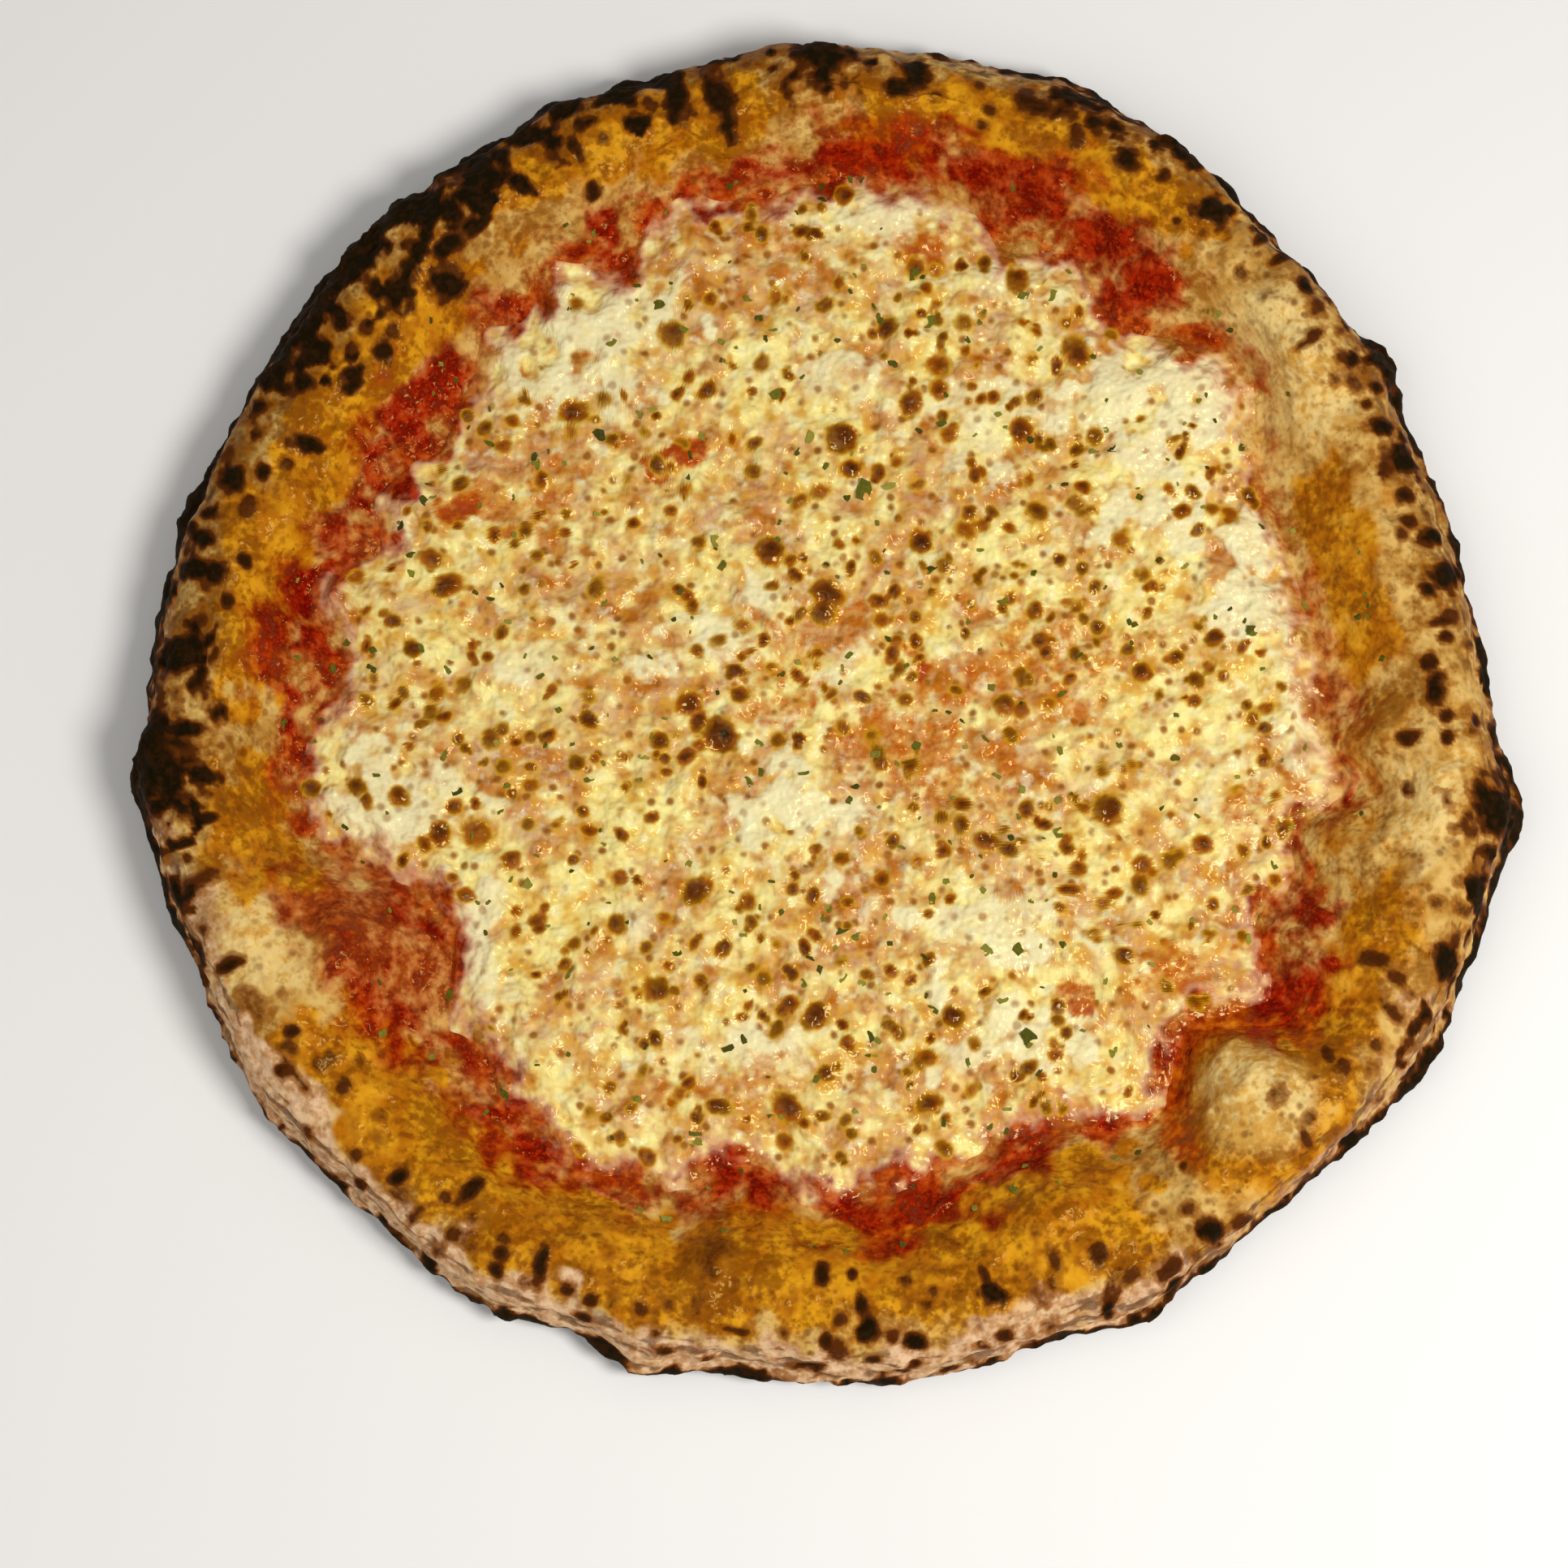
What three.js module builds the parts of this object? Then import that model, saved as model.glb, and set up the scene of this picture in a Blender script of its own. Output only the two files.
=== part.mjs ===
import * as THREE from 'three';

// A whole cheese pizza with a puffed, charred rim. Millimetres, +Z up.
// The origin lies on the surface the pizza rests on, below the middle of its outline.
// A bearing is in degrees, anticlockwise from +X as seen from above.

// Layers, from the bottom up
const floorHeight = 4;         // baked dough below the sauce
const layerGap = 0.3;          // between dough and sauce, and between sauce and cheese
const sauceDepth = 1.3;        // below the cheese
const sauceEdgeDepth = 0.6;    // where the sauce thins out on the rim's slope
const cheeseDepth = 2.4;
const cheeseLip = 0.9;         // depth of the cheese right at its edge
const cheeseRoundedBy = 1.5;   // from the edge in to where the lip is rounded off
const cheeseFullBy = 5;        // from the edge in to the full depth

// Rim
const ridgeInset = 14;         // from the widest outline in to the ridge
const widestHeight = 8;        // height of the widest outline
const footInset = 6;           // from the widest outline in to the flat base
const slopeStart = 4;          // the rim begins to rise this far inside the cheese's edge
const slopeRoundness = 1.8;    // higher values make the foot of the slope hollower
const leastSauceWidth = 2;     // visible sauce between the cheese and bare dough
const lumpShareAtBase = 0.5;   // how far a burnt lump stands out where it meets the base
const lumpFade = 4;            // higher values keep the lumps lower on the wall

// Radius of the rim at its widest, by bearing
const rimOutline = [
  [0, 148], [18, 145], [36, 146.5], [46, 147.5], [60, 151.5], [70, 152], [82, 151.5],
  [94, 152.5], [104, 150], [112, 150], [122, 149], [135, 150], [148, 148.5], [166, 150],
  [182, 152.5], [192, 154], [205, 153], [216, 155], [227, 153.5], [240, 155], [250, 152],
  [263, 151.7], [276, 153], [289, 151], [300, 152.5], [313, 150.5], [327, 155.5],
  [342, 153.5], [350, 154], [356, 149.5],
];

// Height of the rim's ridge, by bearing
const ridgeHeights = [
  [0, 19], [20, 18], [45, 20.5], [62, 21.5], [75, 19.5], [92, 22], [108, 20], [130, 22],
  [150, 19.5], [165, 20.5], [185, 22.5], [208, 23], [224, 20], [240, 21], [255, 19.5],
  [275, 20.5], [292, 21.5], [304, 19.5], [316, 23], [327, 20], [345, 21.5],
];

// Radius of the cheese's wandering edge, by bearing
const cheeseOutline = [
  [0, 113], [9, 111], [27, 111], [37, 121], [45, 118], [52, 110], [60.5, 118.5], [66, 113],
  [77, 121], [88, 122.5], [99, 118], [106.5, 122.5], [115.5, 111.5], [123, 120], [128, 112],
  [131, 117], [136, 112], [146.5, 105.5], [156, 113], [161.5, 107], [166, 119], [171, 117.5],
  [175, 110], [183, 117], [193, 121], [208, 100], [214, 101.5], [221.5, 113], [225, 111.5],
  [232, 116.5], [244, 120.5], [248, 116], [253, 117], [261, 106.5], [267, 114], [275, 113.5],
  [286, 109], [298, 109.5], [307, 119], [317.5, 110], [325, 120], [332, 109.5], [338, 112],
  [343, 108.5], [350, 118], [355, 112],
];

// Radius at which the sauce runs out on the rim's slope, by bearing
const sauceOutline = [
  [0, 120], [10, 120], [26, 115], [44, 122], [54, 126], [62, 128], [73, 131], [94, 131],
  [103, 124], [111, 124], [117, 118], [126, 122], [137, 117], [150, 124], [157, 122],
  [168, 128], [178, 129], [190, 122], [200, 122], [212, 128], [225, 126], [233, 123],
  [247, 124], [263, 117], [276, 122], [290, 113], [300, 112], [307, 121], [317, 112],
  [326, 129], [337, 122], [344, 111], [350, 122], [355, 118],
];

// Gas bubbles that swell the dough: half widths along the bearing and along the radius
const doughBubbles = [
  { bearing: 316.5, radius: 123, along: 16, across: 16, height: 4.5 },
  { bearing: 293, radius: 121, along: 19, across: 14, height: 4 },
  { bearing: 344, radius: 120, along: 13, across: 12, height: 3.5 },
  { bearing: 333, radius: 118, along: 10, across: 10, height: 2.5 },
  { bearing: 355, radius: 121, along: 10, across: 10, height: 2.5 },
  { bearing: 209, radius: 117, along: 21, across: 20, height: 5 },
  { bearing: 266, radius: 126, along: 24, across: 13, height: 3 },
  { bearing: 13, radius: 122, along: 26, across: 13, height: 3 },
  { bearing: 38, radius: 131, along: 18, across: 13, height: 2.5 },
  { bearing: 119, radius: 124, along: 15, across: 12, height: 3 },
  { bearing: 92, radius: 141, along: 12, across: 11, height: 2.5 },
  { bearing: 143, radius: 124, along: 16, across: 11, height: 2.5 },
];

// Burnt lumps of dough that stand out low on the outer wall
const burntLumps = [
  { bearing: 31, halfWidth: 5, reach: 4 },
  { bearing: 68, halfWidth: 5, reach: 1.5 },
  { bearing: 115, halfWidth: 4, reach: 2.5 },
  { bearing: 188, halfWidth: 5, reach: 3 },
  { bearing: 255, halfWidth: 5, reach: 4.5 },
  { bearing: 296, halfWidth: 6, reach: 3 },
  { bearing: 350, halfWidth: 6, reach: 3 },
];

// Gentle waves all over the melted cheese
const broadRipple = { height: 0.35, length: 12 };
const fineRipple = { height: 0.25, length: 8 };

// Places where the melted cheese stands high
const cheesePuffs = [
  { x: -57, y: 82, halfWidth: 20, height: 1.1 },
  { x: 76, y: 72, halfWidth: 26, height: 1.3 },
  { x: 94, y: 24, halfWidth: 20, height: 1 },
  { x: -96, y: -27, halfWidth: 22, height: 1.2 },
  { x: -8, y: -24, halfWidth: 20, height: 1.1 },
  { x: -16, y: 12, halfWidth: 18, height: 0.9 },
  { x: 34, y: -52, halfWidth: 24, height: 1 },
  { x: -40, y: -70, halfWidth: 22, height: 0.9 },
  { x: 30, y: 46, halfWidth: 26, height: 0.8 },
];

// Facets: steps around, and where the rings lie on each stretch of the profile
const bearingSteps = 120;
const floorRing = 0.55;                          // of the cheese's radius
const sauceRings = [1 / 3, 2 / 3, 1];            // from the cheese's edge to the sauce's
const slopeRings = [0.22, 0.43, 0.63, 0.82];     // from the sauce's edge to the ridge
const shoulderAngles = [0, 28, 56, 90];          // degrees over from the ridge to the widest
const footAngle = 48;                            // degrees under from the widest to the base
const cheeseRings = [0.85, 0.7, 0.54, 0.36, 0.18]; // of the cheese's radius, edge to middle

const { degToRad, lerp, smoothstep } = THREE.MathUtils;

// A smooth closed curve through [bearing, value] stops, which start at bearing 0
function around(stops) {
  const before = stops.slice(-2).map(([bearing, value]) => [bearing - 360, value]);
  const after = stops.slice(0, 2).map(([bearing, value]) => [bearing + 360, value]);
  const wrapped = [...before, ...stops, ...after];
  const bearings = wrapped.map((stop) => stop[0]);
  const values = wrapped.map((stop) => stop[1]);
  const curve = new THREE.CubicInterpolant(bearings, values, 1);
  return (bearing) => curve.evaluate(THREE.MathUtils.euclideanModulo(bearing, 360))[0];
}

const widestRadius = around(rimOutline);
const ridgeHeight = around(ridgeHeights);
const cheeseRadius = around(cheeseOutline);
const sauceStop = around(sauceOutline);

function ridgeRadius(bearing) {
  return widestRadius(bearing) - ridgeInset;
}

function sauceRadius(bearing) {
  return Math.max(sauceStop(bearing), cheeseRadius(bearing) + leastSauceWidth);
}

// Smallest turn between two bearings, in degrees
function turnBetween(first, second) {
  return THREE.MathUtils.euclideanModulo(first - second + 180, 360) - 180;
}

// A rounded hump: 1 at its middle, 0 from a distance of 1 outwards
function hump(distance) {
  return distance < 1 ? (1 - distance ** 2) ** 2 : 0;
}

function bubbleHeight(radius, bearing) {
  return doughBubbles.reduce((height, bubble) => {
    const sideways = degToRad(turnBetween(bearing, bubble.bearing)) * bubble.radius;
    const outwards = radius - bubble.radius;
    return height + bubble.height * hump(Math.hypot(sideways / bubble.along, outwards / bubble.across));
  }, 0);
}

// Top of the dough from the middle out to the ridge
function doughTop(radius, bearing) {
  const start = cheeseRadius(bearing) - slopeStart;
  if (radius <= start) {
    return floorHeight;
  }
  const share = (radius - start) / (ridgeRadius(bearing) - start);
  const rise = Math.sin((share * Math.PI) / 2) ** slopeRoundness;
  return lerp(floorHeight, ridgeHeight(bearing), rise) + bubbleHeight(radius, bearing);
}

function lumpReach(bearing) {
  return burntLumps.reduce((reach, lump) => {
    const distance = Math.abs(turnBetween(bearing, lump.bearing)) / lump.halfWidth;
    return reach + lump.reach * hump(distance);
  }, 0);
}

// Depth of the sauce: even below the cheese, thinning out from there to its own edge
function sauceThickness(radius, bearing) {
  const share = smoothstep(radius, cheeseRadius(bearing) - slopeStart, sauceRadius(bearing));
  return lerp(sauceDepth, sauceEdgeDepth, share);
}

function sauceBottom(radius, bearing) {
  return doughTop(radius, bearing) + layerGap;
}

function sauceTop(radius, bearing) {
  return sauceBottom(radius, bearing) + sauceThickness(radius, bearing);
}

function cheeseBottom(radius, bearing) {
  return sauceTop(radius, bearing) + layerGap;
}

function cheeseTop(radius, bearing) {
  const x = radius * Math.cos(degToRad(bearing));
  const y = radius * Math.sin(degToRad(bearing));
  const broad = broadRipple.height * Math.sin(x / broadRipple.length) * Math.cos(y / broadRipple.length);
  const fine = fineRipple.height * Math.sin((x + y) / fineRipple.length);
  const puffs = cheesePuffs.reduce((height, puff) => {
    return height + puff.height * hump(Math.hypot(x - puff.x, y - puff.y) / puff.halfWidth);
  }, 0);
  const inFromEdge = cheeseRadius(bearing) - radius;
  const depth = inFromEdge < cheeseFullBy
    ? lerp(cheeseLip, cheeseDepth, Math.sqrt(inFromEdge / cheeseFullBy))
    : cheeseDepth;
  const relief = smoothstep(inFromEdge, 0, cheeseFullBy) * (broad + fine + puffs);
  return cheeseBottom(radius, bearing) + depth + relief;
}

// Radii of the rings that the dough, the sauce and the cheese share, from the middle outwards
function floorRadii(bearing) {
  const edge = cheeseRadius(bearing);
  return [floorRing * edge, edge - slopeStart, edge];
}

function spreadRadii(bearing) {
  const edge = cheeseRadius(bearing);
  return sauceRings.map((share) => lerp(edge, sauceRadius(bearing), share));
}

function pointsAt(radii, bearing, heightAt) {
  return radii.map((radius) => new THREE.Vector2(radius, heightAt(radius, bearing)));
}

// Each profile runs from the axis at the bottom, outwards, up, and back to the axis at the top.
function crustProfile(bearing) {
  const widest = widestRadius(bearing);
  const ridge = ridgeRadius(bearing);
  const top = doughTop(ridge, bearing);
  const foot = widest - footInset;
  const lump = lumpReach(bearing);
  const under = degToRad(footAngle);
  const wall = [
    new THREE.Vector2(0, 0),
    new THREE.Vector2(foot + lumpShareAtBase * lump, 0),
    new THREE.Vector2(foot + footInset * Math.cos(under) + lump, widestHeight * (1 - Math.sin(under))),
  ];
  const shoulder = [...shoulderAngles].reverse().map((angle) => {
    const outwards = Math.sin(degToRad(angle));
    const upwards = Math.cos(degToRad(angle));
    return new THREE.Vector2(
      ridge + ridgeInset * outwards + lump * outwards ** lumpFade,
      lerp(widestHeight, top, upwards),
    );
  });
  const edge = sauceRadius(bearing);
  const slope = slopeRings.map((share) => lerp(edge, ridge, share)).reverse();
  const floor = [...floorRadii(bearing), ...spreadRadii(bearing)].reverse();
  return [
    ...wall,
    ...shoulder,
    ...pointsAt([...slope, ...floor], bearing, doughTop),
    new THREE.Vector2(0, floorHeight),
  ];
}

function sauceProfile(bearing) {
  const radii = [...floorRadii(bearing), ...spreadRadii(bearing)];
  const middle = floorHeight + layerGap;
  return [
    new THREE.Vector2(0, middle),
    ...pointsAt(radii, bearing, sauceBottom),
    ...pointsAt([...radii].reverse(), bearing, sauceTop),
    new THREE.Vector2(0, middle + sauceDepth),
  ];
}

function cheeseProfile(bearing) {
  const edge = cheeseRadius(bearing);
  const middle = floorHeight + layerGap + sauceDepth + layerGap;
  const topRadii = [
    edge,
    edge - cheeseRoundedBy,
    edge - cheeseFullBy,
    ...cheeseRings.map((share) => share * edge),
  ];
  return [
    new THREE.Vector2(0, middle),
    ...pointsAt(floorRadii(bearing), bearing, cheeseBottom),
    ...pointsAt(topRadii, bearing, cheeseTop),
    new THREE.Vector2(0, cheeseTop(0, 0)),
  ];
}

// Splits each four-sided facet across its shorter diagonal, so layers that lie on each other
// are split alike and keep an even gap.
function splitAcrossShorterDiagonal(geometry, ringCount) {
  const position = geometry.getAttribute('position');
  const corner = (vertex) => new THREE.Vector3().fromBufferAttribute(position, vertex);
  const triangles = [];
  for (let step = 0; step < bearingSteps; step += 1) {
    for (let ring = 0; ring < ringCount - 1; ring += 1) {
      const a = step * ringCount + ring;
      const b = a + ringCount;
      const c = b + 1;
      const d = a + 1;
      const aToC = corner(a).distanceTo(corner(c));
      const bToD = corner(b).distanceTo(corner(d));
      const split = aToC < bToD ? [a, b, c, a, c, d] : [a, b, d, c, d, b];
      triangles.push(...split);
    }
  }
  geometry.setIndex(triangles);
}

// A closed solid turned around the upright axis, with its own profile at every bearing
function turnedSolid(profileAt) {
  const ringCount = profileAt(0).length;
  const geometry = new THREE.LatheGeometry(profileAt(0), bearingSteps);
  const position = geometry.getAttribute('position');
  for (let step = 0; step <= bearingSteps; step += 1) {
    const bearing = ((step % bearingSteps) * 360) / bearingSteps;
    const angle = degToRad(bearing);
    profileAt(bearing).forEach((point, ring) => {
      const x = point.x * Math.cos(angle);
      const y = point.x * Math.sin(angle);
      position.setXYZ(step * ringCount + ring, x, y, point.y);
    });
  }
  splitAcrossShorterDiagonal(geometry, ringCount);
  geometry.computeVertexNormals();
  return geometry;
}

function makeCrust() {
  const material = new THREE.MeshStandardMaterial({ color: 0xc2914f, roughness: 0.75, metalness: 0 });
  const crust = new THREE.Mesh(turnedSolid(crustProfile), material);
  crust.name = 'crust';
  return crust;
}

function makeSauce() {
  const material = new THREE.MeshStandardMaterial({ color: 0x9c3510, roughness: 0.4, metalness: 0 });
  const sauce = new THREE.Mesh(turnedSolid(sauceProfile), material);
  sauce.name = 'sauce';
  return sauce;
}

function makeCheese() {
  const material = new THREE.MeshStandardMaterial({ color: 0xeed79a, roughness: 0.45, metalness: 0 });
  const cheese = new THREE.Mesh(turnedSolid(cheeseProfile), material);
  cheese.name = 'cheese';
  return cheese;
}

const pizza = new THREE.Group();
pizza.add(makeCrust(), makeSauce(), makeCheese());

export default pizza;
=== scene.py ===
import math
import random

import bmesh
import bpy
import numpy as np
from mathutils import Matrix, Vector, noise
from mathutils.bvhtree import BVHTree
from mathutils.kdtree import KDTree


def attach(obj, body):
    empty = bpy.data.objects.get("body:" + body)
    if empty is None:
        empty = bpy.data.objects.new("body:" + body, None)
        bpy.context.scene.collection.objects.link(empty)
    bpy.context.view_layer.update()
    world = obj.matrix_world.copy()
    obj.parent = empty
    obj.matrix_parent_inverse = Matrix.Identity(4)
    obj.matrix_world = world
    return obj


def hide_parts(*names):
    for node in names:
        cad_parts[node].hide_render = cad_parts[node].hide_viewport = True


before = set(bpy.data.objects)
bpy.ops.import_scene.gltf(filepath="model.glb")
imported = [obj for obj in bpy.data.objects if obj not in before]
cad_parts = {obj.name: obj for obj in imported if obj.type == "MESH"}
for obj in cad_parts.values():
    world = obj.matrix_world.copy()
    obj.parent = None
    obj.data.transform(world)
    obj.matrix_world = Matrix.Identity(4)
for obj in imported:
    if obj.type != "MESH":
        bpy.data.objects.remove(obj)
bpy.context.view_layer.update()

# A whole cheese pizza. Lengths below are millimetres and bearings are degrees, anticlockwise
# from +X as seen from above, until a mesh is written in metres.
mm = 0.001
weld = 0.01 * mm          # vertices closer than this are one
bearingStep = 3           # degrees between two columns of the CAD rings
dropHeight = 100          # rays come down from here
down = Vector((0, 0, -1))

view = {
    "target": (-9.8, -20.1, 8.0),
    "elevation": 80,      # degrees above the horizon
    "distance": 950,
    "lens": 98.25,
    "sensor": 36,
    "nearest": 10,        # nothing closer to the lens shows
}


def makeCamera():
    camera = bpy.data.objects.new("camera", bpy.data.cameras.new("camera"))
    tilt = math.radians(view["elevation"])
    target = Vector(view["target"]) * mm
    back = Vector((0, -math.cos(tilt), math.sin(tilt)))
    camera.location = target + back * view["distance"] * mm
    camera.rotation_euler = (-back).to_track_quat("-Z", "Y").to_euler()
    camera.data.lens = view["lens"]
    camera.data.sensor_width = view["sensor"]
    camera.data.clip_start = view["nearest"] * mm
    bpy.context.scene.collection.objects.link(camera)
    bpy.context.scene.camera = camera


makeCamera()
print("camera is set")


def smoothStep(value, low, high):
    share = np.clip((value - low) / (high - low), 0, 1)
    return share * share * (3 - 2 * share)


def hump(distance):
    # 1 in the middle, 0 from a distance of 1 outwards
    return np.clip(1 - distance ** 2, 0, 1) ** 2


def turnBetween(first, second):
    return (first - second + 180) % 360 - 180


def curveThrough(values, places):
    # a smooth curve through rows of values, read at places counted in rows
    last = len(values) - 1
    start = np.clip(np.floor(places).astype(int), 0, last - 1)
    share = (places - start).reshape(places.shape + (1,) * (values.ndim - 1))
    before, here = values[np.maximum(start - 1, 0)], values[start]
    there, after = values[start + 1], values[np.minimum(start + 2, last)]
    bend = 2 * before - 5 * here + 4 * there - after
    twist = 3 * (here - there) + after - before
    return here + 0.5 * share * (there - before + share * (bend + share * twist))


def linesThrough(values, places):
    # the same in straight lines, which never run back on themselves
    start = np.clip(np.floor(places).astype(int), 0, len(values) - 2)
    share = (places - start).reshape(places.shape + (1,) * (values.ndim - 1))
    return values[start] * (1 - share) + values[start + 1] * share


def aroundAt(values, bearings):
    # a smooth curve through a closed round of values, one for every step of bearing
    closed = np.concatenate([values[-2:], values, values[:3]])
    return curveThrough(closed, (bearings % 360) / bearingStep + 2)


def lumps(points, size, octaves=1, seed=0):
    # a smooth random value for each point, about -0.5 to 0.5, with lumps of that size
    shift = Vector((7.31, 3.17, 5.77)) * seed      # each seed reads the noise in another place
    fading, finer = 0.8, 2.0                       # from one octave to the next
    flat = points.reshape(-1, 3).tolist()
    values = [noise.fractal(Vector(point) / size + shift, fading, finer, octaves) for point in flat]
    return np.array(values).reshape(points.shape[:-1])


def uneven(points, shape, octaves, seed):
    # lumps of a (size, height)
    size, height = shape
    return lumps(points, size, octaves, seed) * height


def ringsOf(node):
    # a turned CAD solid as rings by bearings by xyz, from the axis below round to the axis above
    shape = bmesh.new()
    shape.from_mesh(node.data)
    bmesh.ops.remove_doubles(shape, verts=shape.verts, dist=weld)
    onAxis = [vert for vert in shape.verts if vert.co.xy.length < mm]
    lowest = min(onAxis, key=lambda vert: vert.co.z)
    columns = {}
    for edge in lowest.link_edges:
        vert = edge.other_vert(lowest)
        column = columnOf(vert)
        walked = [vert]
        while walked[-1] is not None:
            walked.append(nextInColumn(walked, column))
        columns[column] = [vert.co / mm for vert in walked[:-1]]
    rings = np.array([columns[column] for column in sorted(columns)])
    shape.free()
    return rings.transpose(1, 0, 2)


def columnOf(vert):
    bearing = math.degrees(math.atan2(vert.co.y, vert.co.x))
    return round(bearing / bearingStep) % (360 // bearingStep)


def nextInColumn(walked, column):
    for edge in walked[-1].link_edges:
        vert = edge.other_vert(walked[-1])
        if vert.co.xy.length > mm and columnOf(vert) == column and vert not in walked:
            return vert
    return None


crustRings = ringsOf(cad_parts["crust"])
sauceRings = ringsOf(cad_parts["sauce"])
cheeseRings = ringsOf(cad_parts["cheese"])
print("CAD rings:", crustRings.shape, sauceRings.shape, cheeseRings.shape)


def radiusOf(points):
    return np.hypot(points[..., 0], points[..., 1])


def bearingOf(points):
    return np.degrees(np.arctan2(points[..., 1], points[..., 0])) % 360


cheeseEdge = radiusOf(cheeseRings[3])     # ring 3 is the top of the cheese's edge
sauceEdge = radiusOf(sauceRings[5])       # ring 5 is where the sauce runs out
ridgeRing = radiusOf(crustRings[5])       # ring 5 is the rim's ridge


class Skin:
    # a grid of points that a bmesh sheet is laid on, and the fields that are painted on it
    def __init__(self, points):
        self.points = points
        self.fields = {}
        self.measure()

    def measure(self):
        # directions along the grid, and out of it
        steps = np.roll(self.points, -1, 0) - np.roll(self.points, 1, 0)
        rows = np.gradient(self.points, axis=1)
        self.around = steps / np.linalg.norm(steps, axis=-1, keepdims=True)
        self.up = rows / np.linalg.norm(rows, axis=-1, keepdims=True)
        out = np.cross(self.around, self.up)
        self.out = out / np.maximum(np.linalg.norm(out, axis=-1, keepdims=True), 1e-9)
        self.radius = radiusOf(self.points)
        self.bearing = bearingOf(self.points)

    def swell(self, height):
        self.points = self.points + self.out * height[..., None]

    def spot(self, bearing, radius, fromRow):
        # the grid point on top of the rim at a bearing and a radius
        step = int(round(bearing / 360 * len(self.points))) % len(self.points)
        row = fromRow + int(np.argmin(np.abs(self.radius[step, fromRow:] - radius)))
        return step, row

    def reach(self, centre, along, across):
        # distance of every point from a spot, 1 on the rim of a dab of that size
        offset = self.points - self.points[centre]
        sideways = (offset @ self.around[centre]) / along
        upslope = (offset @ self.up[centre]) / across
        deep = (offset @ self.out[centre]) / max(along, across)
        return np.sqrt(sideways ** 2 + upslope ** 2 + deep ** 2)

    def paint(self, name, value):
        # keeps the stronger of what is there and what is painted
        self.fields[name] = np.maximum(self.fields.get(name, 0), value)


def zoned(bearing, radius, zones, soft):
    # 1 inside the zones, which are (from bearing, to bearing, inner radius, outer radius, strength)
    total = np.zeros_like(radius)
    for start, stop, inner, outer, strength in zones:
        half = ((stop - start) % 360) / 2
        sideways = np.radians(np.abs(turnBetween(bearing, start + half)) - half) * radius
        outwards = np.abs(radius - (inner + outer) / 2) - (outer - inner) / 2
        inside = (1 - smoothStep(sideways, -soft, soft)) * (1 - smoothStep(outwards, -soft, soft))
        total = np.maximum(total, strength * inside)
    return total


def allRound(bearing, stretches, soft):
    # the same for stretches at any radius, which are (from bearing, to bearing, strength)
    zones = [(start, stop, 0, 2, strength) for start, stop, strength in stretches]
    return zoned(bearing, np.ones_like(bearing), zones, soft)


def rowPlaces(rows):
    # places counted in CAD rings, with so many fine rows from each ring to the next
    between = [ring + np.arange(count) / count for ring, count in enumerate(rows)]
    return np.concatenate(between + [[len(rows)]])


def roundSkin(rings, steps):
    # a fine skin with so many columns, from rows of points at the CAD's bearings
    return Skin(aroundAt(rings.transpose(1, 0, 2), np.arange(steps) * 360 / steps))


def laidSheet(points, fields):
    # a sheet of cells laid on a grid of points; what is painted there goes with each vertex
    columns, rows = points.shape[0] - 1, points.shape[1] - 1
    shape = bmesh.new()
    bmesh.ops.create_grid(shape, x_segments=columns, y_segments=rows, size=1)
    flat = np.array([vert.co for vert in shape.verts])
    column = np.rint((flat[:, 0] + 1) / 2 * columns).astype(int)
    row = np.rint((flat[:, 1] + 1) / 2 * rows).astype(int)
    for vert, place in zip(shape.verts, (points[column, row] * mm).tolist()):
        vert.co = place
    for name, values in fields.items():
        layer = shape.verts.layers.float.new(name)
        for vert, value in zip(shape.verts, values[column, row].tolist()):
            vert[layer] = value
    return shape


def joinSeam(shape):
    # where the last column of cells comes round to the first
    border = [vert for vert in shape.verts if vert.is_boundary]
    bmesh.ops.remove_doubles(shape, verts=border, dist=weld)


def placePiece(name, shape):
    mesh = bpy.data.meshes.new(name)
    shape.to_mesh(mesh)
    shape.free()
    piece = bpy.data.objects.new(name, mesh)
    bpy.context.scene.collection.objects.link(piece)
    print(name, "has", len(mesh.polygons), "faces")
    return piece


def finishPiece(name, shape):
    border = [edge for edge in shape.edges if edge.is_boundary]
    if border:
        bmesh.ops.holes_fill(shape, edges=border, sides=0)
    bmesh.ops.recalc_face_normals(shape, faces=shape.faces)
    for face in shape.faces:
        face.smooth = True
    return placePiece(name, shape)


def closedRound(values):
    return np.concatenate([values, values[:1]])


def makeRound(name, skin):
    fields = {field: closedRound(value) for field, value in skin.fields.items()}
    shape = laidSheet(closedRound(skin.points), fields)
    joinSeam(shape)
    return finishPiece(name, shape)


def treeOf(piece):
    mesh = piece.data
    corners = [vert.co.copy() for vert in mesh.vertices]
    return BVHTree.FromPolygons(corners, [tuple(face.vertices) for face in mesh.polygons])


def dropOn(tree, points, miss):
    # height of the surface straight below or above each point, in millimetres
    heights = []
    for x, y in (points[..., :2].reshape(-1, 2) * mm).tolist():
        hit = tree.ray_cast(Vector((x, y, dropHeight * mm)), down)[0]
        heights.append(miss if hit is None else hit.z / mm)
    return np.array(heights).reshape(points.shape[:-1])


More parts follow.
